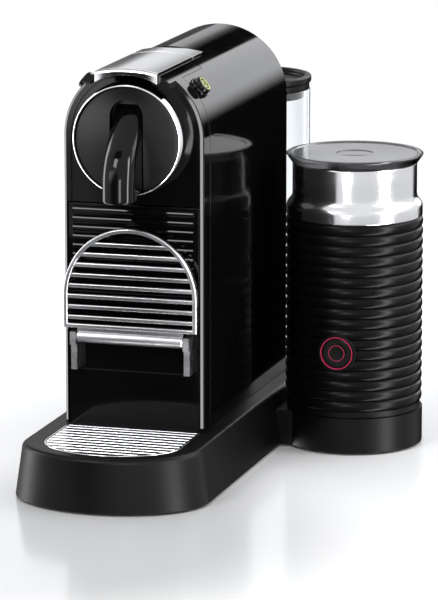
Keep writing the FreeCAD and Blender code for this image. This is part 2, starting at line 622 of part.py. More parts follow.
def ribbed_panel():
    """The front wall of the capsule container: level ribs above, plain below."""
    half = 45.0 - RUN
    wall = box((-half, half), (0.8, 4.0), (BASE_HEIGHT, FASCIA_BOTTOM - 1.0))
    ribs = []
    for i in range(RIB_COUNT):
        z = FASCIA_BOTTOM - 5.0 - RIB_PITCH * i
        ribs.append(prism([(-41.0, 0.9, z - 2.6), (-41.0, -1.4, z - 0.8), (-41.0, -1.4, z + 0.8), (-41.0, 0.9, z + 2.6)],
                          (82.0, 0, 0)))
    pocket = box((-43.0, 43.0), (0.0, 1.6), (74.0, 97.0))
    return wall.cut(pocket).fuse(ribs).removeSplitter()


def capsule_container():
    """The open bin behind the panel that used capsules fall into."""
    outer = box((-42.0, 42.0), (4.1, 108.0), (BASE_HEIGHT + 1.0, 182.0))
    return outer.cut(box((-40.0, 40.0), (6.1, 106.0), (BASE_HEIGHT + 3.0, 190.0)))


def hinge_brackets():
    """Two upright struts on the panel that hold the cup support's pin."""
    strut = box((36.5, 40.5), (SUPPORT_Y - 3.6, 0.7), (HINGE_Z - 5.0, HINGE_Z + 3.6))
    foot = box((36.5, 40.5), (SUPPORT_Y - 1.0, 1.5), (75.0, HINGE_Z - 5.0))
    post = strut.fuse(foot).cut(rod(2.02, (30.0, SUPPORT_Y, HINGE_Z), (45.0, SUPPORT_Y, HINGE_Z)))
    return Part.Compound(both_sides(post.removeSplitter()))


def support_outline(half, low_z, y):
    left, right = V(-half, y, low_z), V(half, y, low_z)
    side_left, side_right = V(-half, y, SUPPORT_CENTRE_Z), V(half, y, SUPPORT_CENTRE_Z)
    return Part.Wire([
        Part.makeLine(left, right),
        Part.makeLine(right, side_right),
        Part.Arc(side_right, V(0, y, SUPPORT_CENTRE_Z + half), side_left).toShape(),
        Part.makeLine(side_left, left),
    ])


def cup_support():
    """The fold-down rest for small cups: a rounded frame with level bars and a hinge barrel."""
    y0 = SUPPORT_Y - SUPPORT_THICK / 2.0
    low = HINGE_Z + 6.0
    outer = Part.Face(support_outline(SUPPORT_HALF, low, y0)).extrude(V(0, SUPPORT_THICK, 0))
    inner_face = Part.Face(support_outline(SUPPORT_HALF - 3.0, low + 3.0, y0 - 1.0))
    frame = outer.cut(inner_face.extrude(V(0, SUPPORT_THICK + 2.0, 0)))
    bars = []
    for i in range(1, 9):
        z = low + BAR_PITCH * i
        rise = max(0.0, z - SUPPORT_CENTRE_Z)
        reach = math.sqrt((SUPPORT_HALF - 1.5) ** 2 - rise ** 2)
        bars.append(box((-reach, reach), (y0 + 1.0, y0 + SUPPORT_THICK - 1.0), (z - 1.5, z + 1.5)))
    barrel = rod(4.0, (-36.0, SUPPORT_Y, HINGE_Z), (36.0, SUPPORT_Y, HINGE_Z))
    neck = box((-36.0, 36.0), (y0 + 1.0, y0 + SUPPORT_THICK - 1.0), (HINGE_Z, low + 1.0))
    support = frame.fuse(bars + [barrel, neck])
    return support.cut(rod(2.06, (-50.0, SUPPORT_Y, HINGE_Z), (50.0, SUPPORT_Y, HINGE_Z))).removeSplitter()


def hinge_pin():
    return rod(2.0, (-40.5, SUPPORT_Y, HINGE_Z), (40.5, SUPPORT_Y, HINGE_Z))


def water_tank():
    """The clear tank with the plug of its valve underneath."""
    bottom = BASE_HEIGHT + 0.5
    outer = straight(tail_outline(TANK_HALF, TANK_FRONT, TANK_REAR, 30.0, bottom, 6.0), TANK_TOP - bottom)
    inner = straight(tail_outline(TANK_HALF - 2.0, TANK_FRONT + 2.0, TANK_REAR - 2.0, 28.0, bottom + 3.0, 4.0), 250.0)
    plug = rod(8.0, (0, VALVE_Y, 31.0), (0, VALVE_Y, bottom + 1.0))
    bore = rod(6.0, (0, VALVE_Y, 30.0), (0, VALVE_Y, bottom))
    seat = rod(4.0, (0, VALVE_Y, 30.0), (0, VALVE_Y, 60.0))
    return outer.cut(inner).fuse(plug).cut([bore, seat])


def tank_valve():
    """The spring-loaded stem that the socket lifts to let water out."""
    top = BASE_HEIGHT + 3.6
    disc = rod(5.6, (0, VALVE_Y, top), (0, VALVE_Y, top + 2.0))
    stem = rod(2.0, (0, VALVE_Y, 33.0), (0, VALVE_Y, top + 14.0))
    return disc.fuse(stem)


def tank_lid():
    """The black lid with a raised rim and the plug that centres it in the tank."""
    plate = straight(tail_outline(TANK_HALF + 0.4, TANK_FRONT - 0.4, TANK_REAR + 0.4, 30.4, TANK_TOP + SEAM, 6.4),
                     TANK_LID_TOP - TANK_TOP - SEAM)
    well = straight(tail_outline(TANK_HALF - 2.6, TANK_FRONT + 2.6, TANK_REAR - 2.6, 27.4, TANK_LID_TOP - 4.0, 3.4),
                    10.0)
    plug = straight(tail_outline(TANK_HALF - 4.0, TANK_FRONT + 4.0, TANK_REAR - 4.0, 26.0, TANK_TOP - 11.0, 3.0), 12.0)
    hollow = straight(tail_outline(TANK_HALF - 6.0, TANK_FRONT + 6.0, TANK_REAR - 6.0, 24.0, TANK_TOP - 12.0, 3.0),
                      13.0)
    return plate.cut(well).fuse(plug).cut(hollow).removeSplitter()


def dock_connector():
    """The raised power plug in the middle of the frother's dock."""
    return rod(8.0, (0, 0, DOCK_HEIGHT - 4.0), (0, 0, DOCK_HEIGHT + 8.0))


def jug_base():
    """The jug's bottom plate with the socket that sits over the dock's plug."""
    low = DOCK_HEIGHT + 0.4
    plate = rod(45.3, (0, 0, low), (0, 0, SLEEVE_BOTTOM - 0.1))
    hood = rod(11.0, (0, 0, low), (0, 0, DOCK_HEIGHT + 12.0))
    return plate.fuse(hood).cut(rod(8.5, (0, 0, low - 1.0), (0, 0, DOCK_HEIGHT + 9.5)))


def jug_sleeve():
    """The ribbed outer wall of the jug, with the round hole for its button."""
    pitch = (SLEEVE_TOP - SLEEVE_BOTTOM) / SLEEVE_RIBS
    inner = 43.2
    edges = [Part.makeLine(V(SLEEVE_VALLEY, 0, SLEEVE_TOP), V(inner, 0, SLEEVE_TOP)),
             Part.makeLine(V(inner, 0, SLEEVE_TOP), V(inner, 0, SLEEVE_BOTTOM)),
             Part.makeLine(V(inner, 0, SLEEVE_BOTTOM), V(SLEEVE_VALLEY, 0, SLEEVE_BOTTOM))]
    for i in range(SLEEVE_RIBS):
        z = SLEEVE_BOTTOM + pitch * i
        edges.append(Part.Arc(V(SLEEVE_VALLEY, 0, z), V(SLEEVE_CREST, 0, z + pitch / 2.0),
                              V(SLEEVE_VALLEY, 0, z + pitch)).toShape())
    wall = Part.Face(Part.Wire(Part.__sortEdges__(edges))).revolve(V(0, 0, 0), V(0, 0, 1), 360)
    boss = rod(13.4, (0, -46.6, FROTHER_BUTTON_Z), (0, -30.0, FROTHER_BUTTON_Z))
    boss = boss.cut(rod(44.0, (0, 0, 20.0), (0, 0, 120.0)))
    wall = wall.fuse(boss)
    return wall.cut(rod(11.3, (0, -60.0, FROTHER_BUTTON_Z), (0, -30.0, FROTHER_BUTTON_Z)))


def led_ring():
    """The light ring set round the frother's button."""
    return ring(11.2, 10.3, (0, -46.7, FROTHER_BUTTON_Z), (0, -41.5, FROTHER_BUTTON_Z))


def frother_button():
    return rod(9.9, (0, -46.5, FROTHER_BUTTON_Z), (0, -42.4, FROTHER_BUTTON_Z))


def frother_board():
    """The small upright board with the switch behind the button."""
    board = box((-18.0, 18.0), (-37.0, -35.4), (34.0, 82.0))
    switch = rod(3.0, (0, -40.0, FROTHER_BUTTON_Z), (0, -37.0, FROTHER_BUTTON_Z))
    return board.fuse(switch)


def jug_collar():
    """The polished band between the ribbed wall and the lid: a neck that flares out below."""
    low = SLEEVE_TOP + 0.1
    flare = [V(46.2, 0, low + 6.7), V(45.6, 0, low + 9.0), V(44.2, 0, low + 10.7), V(42.8, 0, low + 12.4),
             V(COLLAR_RADIUS, 0, low + 14.6)]
    corners = [flare[4], V(COLLAR_RADIUS, 0, COLLAR_TOP), V(40.2, 0, COLLAR_TOP), V(40.2, 0, low + 14.0),
               V(43.4, 0, low + 8.0), V(43.4, 0, low), V(45.4, 0, low), V(46.2, 0, low + 0.9), flare[0]]
    edges = [Part.Arc(flare[0], flare[1], flare[2]).toShape(), Part.Arc(flare[2], flare[3], flare[4]).toShape()]
    edges += [Part.makeLine(a, b) for a, b in zip(corners, corners[1:])]
    return Part.Face(Part.Wire(edges)).revolve(V(0, 0, 0), V(0, 0, 1), 360)


LINER_FLOOR = 92.0


def jug_liner():
    """The steel milk cup, with the pin that the whisk turns on."""
    cup = rod(39.5, (0, 0, LINER_FLOOR), (0, 0, COLLAR_TOP - 1.0))
    inside = rod(38.5, (0, 0, LINER_FLOOR + 1.2), (0, 0, COLLAR_TOP))
    rim = ring(40.1, 38.5, (0, 0, COLLAR_TOP - 2.2), (0, 0, COLLAR_TOP - 1.0))
    pin = rod(2.0, (0, 0, LINER_FLOOR + 1.0), (0, 0, LINER_FLOOR + 9.0))
    return cup.cut(inside).fuse([rim, pin])


def frother_heater():
    return ring(36.0, 19.0, (0, 0, LINER_FLOOR - 6.0), (0, 0, LINER_FLOOR - 0.1))


def frother_motor():
    case = rod(16.0, (0, 0, 42.0), (0, 0, 76.0))
    return case.fuse(rod(2.0, (0, 0, 76.0), (0, 0, LINER_FLOOR - 2.0)))


def magnet_rotor():
    return ring(14.0, 2.06, (0, 0, 79.0), (0, 0, LINER_FLOOR - 3.0))


def whisk():
    """The magnetic hub with its spokes and stirring ring."""
    low = LINER_FLOOR + 2.0
    hub = rod(8.0, (0, 0, low), (0, 0, low + 5.0))
    ring_z = low + 2.5
    loop = Part.makeTorus(16.0, 1.8, V(0, 0, ring_z))
    spokes = []
    for turn in (0.0, 120.0, 240.0):
        end = (16.0 * math.cos(math.radians(turn)), 16.0 * math.sin(math.radians(turn)), ring_z)
        spokes.append(rod(1.2, (0, 0, ring_z), end))
    return hub.fuse([loop] + spokes).cut(rod(2.08, (0, 0, low - 1.0), (0, 0, low + 8.0)))


def jug_lid():
    """The smoky lid: a shallow cap with a plug that reaches into the cup."""
    low = COLLAR_TOP + 0.4
    cap = turned([(0.0, low), (COLLAR_RADIUS + 0.4, low), (JUG_LID_RADIUS, JUG_LID_TOP - 1.0),
                  (JUG_LID_RADIUS - 0.6, JUG_LID_TOP), (JUG_LID_RADIUS - 3.6, JUG_LID_TOP),
                  (JUG_LID_RADIUS - 4.6, JUG_LID_TOP - 0.8), (0.0, JUG_LID_TOP - 0.8)])
    plug = rod(37.0, (0, 0, low - 8.0), (0, 0, low + 1.0))
    groove = ring(37.5, 35.5, (0, 0, low - 5.0), (0, 0, low - 2.5))
    hollow = rod(34.0, (0, 0, low - 9.0), (0, 0, low + 2.5))
    return cap.fuse(plug).cut([groove, hollow])


def lid_seal():
    low = COLLAR_TOP + 0.4
    return ring(38.1, 35.6, (0, 0, low - 4.9), (0, 0, low - 2.6))


def main():
    os.makedirs("parts", exist_ok=True)
    for make in (base_housing, bottom_cover, rubber_feet, base_screws, cord_gland, main_shell, front_bezel,
                 head_fascia, head_disc, chrome_ring, spout, rear_panel, inner_frame, brew_frame,
                 front_brew_plate, capsule_guide, capsule_cage, cage_seal, piercing_needles, lever_handle,
                 crank_pins, lever_pivots, button_collars, button_switches, pump_body, pump_plunger, pump_mounts,
                 thermoblock, flow_meter, control_board, water_hoses, brew_inlet, tank_socket, drip_tray,
                 tray_feet, drip_grid, ribbed_panel, capsule_container, hinge_brackets, cup_support, hinge_pin,
                 water_tank, tank_valve, tank_lid):
        save(make.__name__, make())
    save("espresso_button", shoulder_button(1))
    save("lungo_button", shoulder_button(-1))
    for make in (dock_connector, jug_base, jug_sleeve, led_ring, frother_button, frother_board, jug_collar,
                 jug_liner, frother_heater, frother_motor, magnet_rotor, whisk, jug_lid, lid_seal):
        save(make.__name__, make(), FROTHER)
    print(len(saved), "pieces")


if __name__ == "__main__":
    main()
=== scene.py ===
"""Looks of the pod coffee machine with its docked milk frother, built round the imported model."""
import json
import math

import bpy
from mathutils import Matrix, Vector


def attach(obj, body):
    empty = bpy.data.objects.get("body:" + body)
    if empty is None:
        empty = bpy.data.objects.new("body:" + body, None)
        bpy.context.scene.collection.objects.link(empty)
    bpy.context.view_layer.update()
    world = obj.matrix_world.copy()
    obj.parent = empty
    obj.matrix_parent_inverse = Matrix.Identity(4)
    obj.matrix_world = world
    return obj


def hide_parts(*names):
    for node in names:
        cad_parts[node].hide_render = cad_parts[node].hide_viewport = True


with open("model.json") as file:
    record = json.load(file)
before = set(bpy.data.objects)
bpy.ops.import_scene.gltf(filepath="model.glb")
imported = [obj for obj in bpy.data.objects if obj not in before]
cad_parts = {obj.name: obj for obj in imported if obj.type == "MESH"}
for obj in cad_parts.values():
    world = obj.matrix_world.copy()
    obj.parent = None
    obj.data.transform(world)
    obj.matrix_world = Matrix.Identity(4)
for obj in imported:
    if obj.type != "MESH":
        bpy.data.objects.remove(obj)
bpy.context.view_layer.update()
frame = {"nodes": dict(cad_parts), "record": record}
nodes = frame["nodes"]

# Where the machine's and the frother's own drawings sit, in metres from the part's origin
BODY_X = -0.045
FRONT_Y = -0.093
FROTHER_X = 0.063
FROTHER_Y = 0.063

# The drawings are in millimetres
PER_METRE = 1000.0

UP = (0.0, 0.0, 1.0)
ACROSS = (1.0, 0.0, 0.0)
FORWARD = (0.0, -1.0, 0.0)
BACKWARD = (0.0, 1.0, 0.0)


# Finishes

EVEN = (1.0, 1.0, 1.0)
NOISE_LOW = 0.3
NOISE_HIGH = 0.7
PLAIN_IOR = 1.45
CLEAR_IOR = 1.49
GLOSS_DARK = (0.0016, 0.0016, 0.0018)
GLOSS_LIGHT = (0.0026, 0.0026, 0.0028)

# Dark and light colour, roughness from and to, scale and depth of the skin, refraction
PLASTICS = {
    "gloss_black": (GLOSS_DARK, GLOSS_LIGHT, (0.05, 0.08), 160.0, 0.02, 1.28),
    "satin_black": ((0.002, 0.002, 0.0022), (0.0034, 0.0034, 0.0036), (0.34, 0.42), 2400.0, 0.12, 1.22),
    "sleeve_black": (GLOSS_DARK, GLOSS_LIGHT, (0.24, 0.32), 1800.0, 0.1, 1.2),
    "disc_charcoal": ((0.0014, 0.0014, 0.0016), (0.0024, 0.0024, 0.0026), (0.3, 0.38), 1500.0, 0.08, 1.4),
    "key_black": (GLOSS_DARK, GLOSS_LIGHT, (0.12, 0.18), 700.0, 0.04, 1.28),
    "rubber": ((0.02, 0.02, 0.02), (0.03, 0.03, 0.03), (0.7, 0.85), 900.0, 0.3, PLAIN_IOR),
    "inner_plastic": ((0.05, 0.05, 0.053), (0.07, 0.07, 0.073), (0.45, 0.6), 1200.0, 0.15, PLAIN_IOR),
    "light_red": ((0.34, 0.014, 0.058), (0.42, 0.02, 0.076), (0.2, 0.3), 900.0, 0.02, PLAIN_IOR),
    "lit_green": ((0.27, 0.31, 0.05), (0.34, 0.38, 0.07), (0.3, 0.4), 900.0, 0.02, PLAIN_IOR),
    "board_green": ((0.02, 0.12, 0.05), (0.04, 0.18, 0.08), (0.4, 0.5), 500.0, 0.1, PLAIN_IOR),
}

# Dark and light colour, roughness from and to, stretch of the drawn marks, depth of the marks
METALS = {
    "chrome": ((0.78, 0.78, 0.79), (0.84, 0.84, 0.85), (0.05, 0.09), EVEN, 0.01),
    "plate_chrome": ((0.86, 0.86, 0.87), (0.92, 0.92, 0.93), (0.1, 0.16), (1.0, 0.08, 1.0), 0.02),
    "steel": ((0.52, 0.52, 0.53), (0.66, 0.66, 0.67), (0.2, 0.32), (0.06, 1.0, 1.0), 0.08),
    "bright_steel": ((0.74, 0.74, 0.75), (0.82, 0.82, 0.83), (0.12, 0.2), (0.06, 1.0, 1.0), 0.03),
    "collar_steel": ((0.66, 0.66, 0.67), (0.72, 0.72, 0.73), (0.14, 0.2), (0.1, 0.1, 1.0), 0.01),
    "cast_aluminium": ((0.5, 0.5, 0.5), (0.62, 0.62, 0.62), (0.45, 0.6), EVEN, 0.4),
    "motor_metal": ((0.3, 0.3, 0.31), (0.42, 0.42, 0.43), (0.3, 0.45), (1.0, 1.0, 0.1), 0.1),
}

# Colour, roughness from and to, refraction
CLEARS = {
    "clear_plastic": ((0.93, 0.95, 0.96), (0.01, 0.04), CLEAR_IOR),
    "smoky_plastic": ((0.09, 0.09, 0.095), (0.08, 0.16), CLEAR_IOR),
}


def new_finish(name):
    """An empty node material with its shader and the object's own coordinates."""
    look = bpy.data.materials.new(name)
    look.use_nodes = True
    tree = look.node_tree
    shader = tree.nodes["Principled BSDF"]
    place = tree.nodes.new("ShaderNodeTexCoord")
    return look, tree, shader, place


def grain(tree, place, scale, detail, stretch=EVEN):
    """Noise that lies still on the piece, stretched where the surface is drawn or brushed."""
    turn = tree.nodes.new("ShaderNodeMapping")
    turn.inputs["Scale"].default_value = stretch
    noise = tree.nodes.new("ShaderNodeTexNoise")
    noise.inputs["Scale"].default_value = scale
    noise.inputs["Detail"].default_value = detail
    tree.links.new(place.outputs["Object"], turn.inputs["Vector"])
    tree.links.new(turn.outputs["Vector"], noise.inputs["Vector"])
    return noise.outputs["Fac"]


def spread(tree, source, low, high):
    """Map noise onto a narrow band of values."""
    band = tree.nodes.new("ShaderNodeMapRange")
    band.inputs["From Min"].default_value = NOISE_LOW
    band.inputs["From Max"].default_value = NOISE_HIGH
    band.inputs["To Min"].default_value = low
    band.inputs["To Max"].default_value = high
    tree.links.new(source, band.inputs["Value"])
    return band.outputs["Result"]


def tint(tree, source, dark, light):
    """Blend two close colours by noise."""
    ramp = tree.nodes.new("ShaderNodeValToRGB")
    ramp.color_ramp.elements[0].position = NOISE_LOW
    ramp.color_ramp.elements[0].color = (*dark, 1.0)
    ramp.color_ramp.elements[1].position = NOISE_HIGH
    ramp.color_ramp.elements[1].color = (*light, 1.0)
    tree.links.new(source, ramp.inputs["Fac"])
    return ramp.outputs["Color"]


def relief(tree, shader, source, strength, distance):
    """Raise the surface a little by noise."""
    bump = tree.nodes.new("ShaderNodeBump")
    bump.inputs["Strength"].default_value = strength
    bump.inputs["Distance"].default_value = distance
    tree.links.new(source, bump.inputs["Height"])
    tree.links.new(bump.outputs["Normal"], shader.inputs["Normal"])


def moulded(name, dark, light, rough, skin_scale, depth, ior):
    """A moulded plastic: colour, gloss and skin texture all vary a little."""
    look, tree, shader, place = new_finish(name)
    cloud = grain(tree, place, scale=18.0, detail=3.0)
    skin = grain(tree, place, skin_scale, detail=4.0)
    tree.links.new(tint(tree, cloud, dark, light), shader.inputs["Base Color"])
    tree.links.new(spread(tree, cloud, *rough), shader.inputs["Roughness"])
    shader.inputs["IOR"].default_value = ior
    relief(tree, shader, skin, depth, distance=0.0002)
    return look


def metal(name, dark, light, rough, stretch, depth):
    """A metal with drawn or polished marks."""
    look, tree, shader, place = new_finish(name)
    shader.inputs["Metallic"].default_value = 1.0
    marks = grain(tree, place, scale=90.0, detail=5.0, stretch=stretch)
    tree.links.new(tint(tree, marks, dark, light), shader.inputs["Base Color"])
    tree.links.new(spread(tree, marks, *rough), shader.inputs["Roughness"])
    relief(tree, shader, marks, depth, distance=0.0001)
    return look


def clear(name, colour, rough, ior):
    """A see-through moulding with faint flow marks."""
    look, tree, shader, place = new_finish(name)
    shader.inputs["Base Color"].default_value = (*colour, 1.0)
    shader.inputs["Transmission Weight"].default_value = 1.0
    shader.inputs["IOR"].default_value = ior
    flow = grain(tree, place, scale=12.0, detail=2.0, stretch=(1.0, 1.0, 0.3))
    tree.links.new(spread(tree, flow, *rough), shader.inputs["Roughness"])
    return look


def finishes():
    """Every finish by its name: one for each slot of the record, and a few for single pieces."""
    looks = {name: moulded(name, *values) for name, values in PLASTICS.items()}
    looks.update({name: metal(name, *values) for name, values in METALS.items()})
    looks.update({name: clear(name, *values) for name, values in CLEARS.items()})
    return looks


def paint_nodes():
    """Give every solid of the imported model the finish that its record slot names."""
    for part in frame["record"]["subparts"]:
        solid = nodes[part["node"]]
        solid.data.materials.clear()
        solid.data.materials.append(finish[part["material_slot"]])


# Modelling by hand: outlines drawn point by point, then extruded, spun, cut and rounded

START_SIZE = 0.002
MERGE_GAP = 0.000004
NEAR = 1e-5


def spot(x, y, z):
    """A point of the machine's own drawing, in millimetres, as metres in the part's frame."""
    return Vector((BODY_X + x / PER_METRE, FRONT_Y + y / PER_METRE, z / PER_METRE))


def jug_spot(x, y, z):
    """The same for the frother, which is drawn about its own axis."""
    return Vector((FROTHER_X + x / PER_METRE, FROTHER_Y + y / PER_METRE, z / PER_METRE))


def arc(middle, radius, start, end, count):
    """Pairs of numbers along a circle, in degrees from the first axis to the second."""
    turns = [math.radians(start + (end - start) * i / count) for i in range(count + 1)]
    return [(middle[0] + radius * math.cos(t), middle[1] + radius * math.sin(t)) for t in turns]


def round_bar(radius, low, high):
    """The profile of a plain round bar, as lathe takes it, for drilling a hole."""
    return [(0.0, low), (radius, low), (radius, high), (0.0, high)]


def pick(piece):
    """Select one piece alone and make it the active one."""
    bpy.ops.object.select_all(action="DESELECT")
    piece.select_set(True)
    bpy.context.view_layer.objects.active = piece


def draw_line(name, points):
    """Start from one small plane drawn together to a vertex, and extrude that from point to point."""
    bpy.ops.object.select_all(action="DESELECT")
    bpy.ops.mesh.primitive_plane_add(size=START_SIZE, location=points[0])
    piece = bpy.context.object
    piece.name = name
    bpy.ops.object.transform_apply(location=True, rotation=True, scale=True)
    bpy.ops.object.mode_set(mode="EDIT")
    bpy.ops.mesh.select_mode(type="VERT")
    bpy.ops.mesh.select_all(action="SELECT")
    bpy.ops.mesh.merge(type="CENTER")
    for start, end in zip(points, points[1:]):
        bpy.ops.mesh.extrude_vertices_move(TRANSFORM_OT_translate={"value": end - start})
    return piece


def close_line(piece):
    """Join the two ends of a drawn line with an edge."""
    bpy.ops.object.mode_set(mode="OBJECT")
    used = [0] * len(piece.data.vertices)
    for edge in piece.data.edges:
        for corner in edge.vertices:
            used[corner] += 1
    for vertex in piece.data.vertices:
        vertex.select = used[vertex.index] == 1
    bpy.ops.object.mode_set(mode="EDIT")
    bpy.ops.mesh.select_mode(type="VERT")
    bpy.ops.mesh.edge_face_add()


def tidy_mesh(piece):
    """Merge doubles and turn every face outwards."""
    bpy.ops.mesh.select_all(action="SELECT")
    bpy.ops.mesh.remove_doubles(threshold=MERGE_GAP)
    bpy.ops.mesh.normals_make_consistent(inside=False)
    bpy.ops.object.mode_set(mode="OBJECT")
    return piece


def slab(name, points, along):
    """A flat outline filled and extruded."""
    piece = draw_line(name, points)
    bpy.ops.mesh.select_all(action="SELECT")
    bpy.ops.mesh.edge_face_add()
    bpy.ops.mesh.extrude_region_move(TRANSFORM_OT_translate={"value": Vector(along) / PER_METRE})
    return tidy_mesh(piece)


def lathe(name, profile, middle, axis, radial, steps=96):
    """A closed profile of (radius, height) pairs in millimetres, spun about an axis through middle."""
    axis = Vector(axis).normalized()
    radial = Vector(radial).normalized()
    points = [middle + radial * (r / PER_METRE) + axis * (h / PER_METRE) for r, h in profile]
    piece = draw_line(name, points)
    if profile[0][0] > 0.0 or profile[-1][0] > 0.0:
        close_line(piece)
    bpy.ops.mesh.select_all(action="SELECT")
    bpy.ops.mesh.spin(steps=steps, angle=math.tau, center=middle, axis=axis)
    return tidy_mesh(piece)


def loft(name, rings):
    """A closed skin over outlines that follow each other: each pair is bridged, then the ends are filled."""
    bands = []
    for pair in zip(rings, rings[1:]):
        hoops = []
        for ring in pair:
            hoops.append(draw_line(name, ring))
            close_line(hoops[-1])
            bpy.ops.object.mode_set(mode="OBJECT")
        bands.append(join(*hoops))
        bpy.ops.object.mode_set(mode="EDIT")
        bpy.ops.mesh.select_all(action="SELECT")
        bpy.ops.mesh.bridge_edge_loops()
        bpy.ops.object.mode_set(mode="OBJECT")
    skin = join(*bands)
    bpy.ops.object.mode_set(mode="EDIT")
    bpy.ops.mesh.select_all(action="SELECT")
    bpy.ops.mesh.remove_doubles(threshold=MERGE_GAP)
    bpy.ops.mesh.select_all(action="SELECT")
    bpy.ops.mesh.fill_holes(sides=0)
    return tidy_mesh(skin)


def block(name, low, high):
    """A box between two corners of the machine's drawing, as a start for a bar, a web or a cutter."""
    a, b = spot(*low), spot(*high)
    bpy.ops.object.select_all(action="DESELECT")
    bpy.ops.mesh.primitive_cube_add(size=1.0, location=(a + b) / 2.0)
    piece = bpy.context.object
    piece.name = name
    piece.scale = b - a
    bpy.ops.object.transform_apply(location=True, rotation=True, scale=True)
    return piece


def use_modifier(piece, kind, **settings):
    """Add a modifier with its settings and apply it."""
    modifier = piece.modifiers.new(kind.lower(), kind)
    for key, value in settings.items():
        setattr(modifier, key, value)
    pick(piece)
    bpy.ops.object.modifier_apply(modifier=modifier.name)
    return piece


def carve(piece, tool, operation="DIFFERENCE"):
    """Cut or trim one piece with another, which is used up."""
    use_modifier(piece, "BOOLEAN", operation=operation, object=tool, solver="EXACT")
    bpy.data.objects.remove(tool)
    return piece


def round_edges(piece, width, segments=3, angle=40.0):
    """Round every edge sharper than the given angle."""
    return use_modifier(piece, "BEVEL", width=width / PER_METRE, segments=segments, limit_method="ANGLE",
                        angle_limit=math.radians(angle), use_clamp_overlap=True, harden_normals=False)


def bevel_where(piece, chosen, width, segments):
    """Bevel the edges whose two ends satisfy a test."""
    pick(piece)
    bpy.ops.object.mode_set(mode="EDIT")
    bpy.ops.mesh.select_mode(type="EDGE")
    bpy.ops.mesh.select_all(action="DESELECT")
    bpy.ops.object.mode_set(mode="OBJECT")
    corners = piece.data.vertices
    for edge in piece.data.edges:
        edge.select = chosen(*[corners[i].co for i in edge.vertices])
    bpy.ops.object.mode_set(mode="EDIT")
    bpy.ops.mesh.bevel(offset=width / PER_METRE, segments=segments, affect="EDGES")
    bpy.ops.object.mode_set(mode="OBJECT")
    return piece


def join(first, *others):
    """Put several modelled pieces into one object."""
    pick(first)
    for piece in others:
        piece.select_set(True)
    bpy.ops.object.join()
    return first


def dress(piece, body, slot, replaced=(), angle=32.0, look=None):
    """Smooth the piece, give it its slot's finish or a look of its own, and set it on its body."""
    pick(piece)
    bpy.ops.object.shade_smooth_by_angle(angle=math.radians(angle))
    use_modifier(piece, "WEIGHTED_NORMAL", mode="FACE_AREA", weight=50, keep_sharp=True)
    piece.data.materials.clear()
    piece.data.materials.append(finish[look or slot])
    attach(piece, body)
    if replaced:
        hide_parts(*replaced)
    return piece


# Brewing body: driving sizes, in millimetres

BODY_HALF = 47.5
BODY_REAR = 201.6
ARCH_Z = 229.5
BASE_HEIGHT = 36.0
SHELL_WALL = 2.5
SEAM = 0.3
BEZEL_REAR = 16.0
BEZEL_CHAMFER = 2.0
BEZEL_SOFTENING = 0.7
LEG_INNER = 45.0
HEAD_INNER = 42.0
FASCIA_BOTTOM = 185.5
STEP_RADIUS = 44.0
CAPSULE_HALF = 20.0
LEVER_HALF = 28.4
LEVER_REAR = 64.6
LEVER_BOW = 5.0
OPENING_HALF = 28.7
OPENING_FRONT = 10.0
OPENING_REAR = 65.6
BUTTON_LEAN = math.radians(51.0)
BUTTON_Y = 25.2
BUTTON_HOLE = 7.3

# Cutters reach past the piece, and those for the crest stand from CUT_Z to SKY_Z
PAST = 5.0
CUT_Z = 240.0
SKY_Z = 300.0


def arch_outline(half, floor_z, y, count=64):
    """Straight sides under a half circle."""
    return [spot(-half, y, floor_z), spot(half, y, floor_z)] + [
        spot(x, y, z) for x, z in arc((0.0, ARCH_Z), half, 0.0, 180.0, count)]


def bowed_plan(half, front_y, rear_y, z, count=20):
    """The lever's outline seen from above, with its bowed rear edge."""
    plan = [spot(-half, front_y, z), spot(half, front_y, z)]
    for i in range(count + 1):
        x = half * (1.0 - 2.0 * i / count)
        plan.append(spot(x, rear_y - LEVER_BOW * (x / half) ** 2, z))
    return plan


def button_axis(side):
    """The way a push button faces, square to the body's shoulder."""
    return Vector((side * math.sin(BUTTON_LEAN), 0.0, math.cos(BUTTON_LEAN)))


def button_foot(side):
    """Where a push button's axis meets the body's surface."""
    return spot(0.0, BUTTON_Y, ARCH_Z) + button_axis(side) * (BODY_HALF / PER_METRE)


def body_shell():
    """The arched cover from the seam behind the bezel to the back, with the lever's opening."""
    depth = BODY_REAR - BEZEL_REAR - SEAM
    shell = slab("body_shell", arch_outline(BODY_HALF, BASE_HEIGHT, BEZEL_REAR + SEAM), (0.0, depth, 0.0))
    round_edges(shell, 0.5, 2, 60.0)
    inside = arch_outline(BODY_HALF - SHELL_WALL, BASE_HEIGHT - PAST, BEZEL_REAR - PAST)
    carve(shell, slab("shell_hollow", inside, (0.0, depth + 4.0 * PAST, 0.0)))
    opening = bowed_plan(OPENING_HALF, OPENING_FRONT, OPENING_REAR, CUT_Z)
    carve(shell, slab("lever_opening", opening, (0.0, 0.0, SKY_Z - CUT_Z)))
    carve(shell, plate_bed("trim_bed", 40.0, TRIM_REAR + 0.4))
    for side in (-1, 1):
        bar = round_bar(BUTTON_HOLE, -8.0, 8.0)
        carve(shell, lathe("button_hole", bar, button_foot(side), button_axis(side), BACKWARD, 48))
    dress(shell, "chassis", "gloss_black", ["main_shell"])


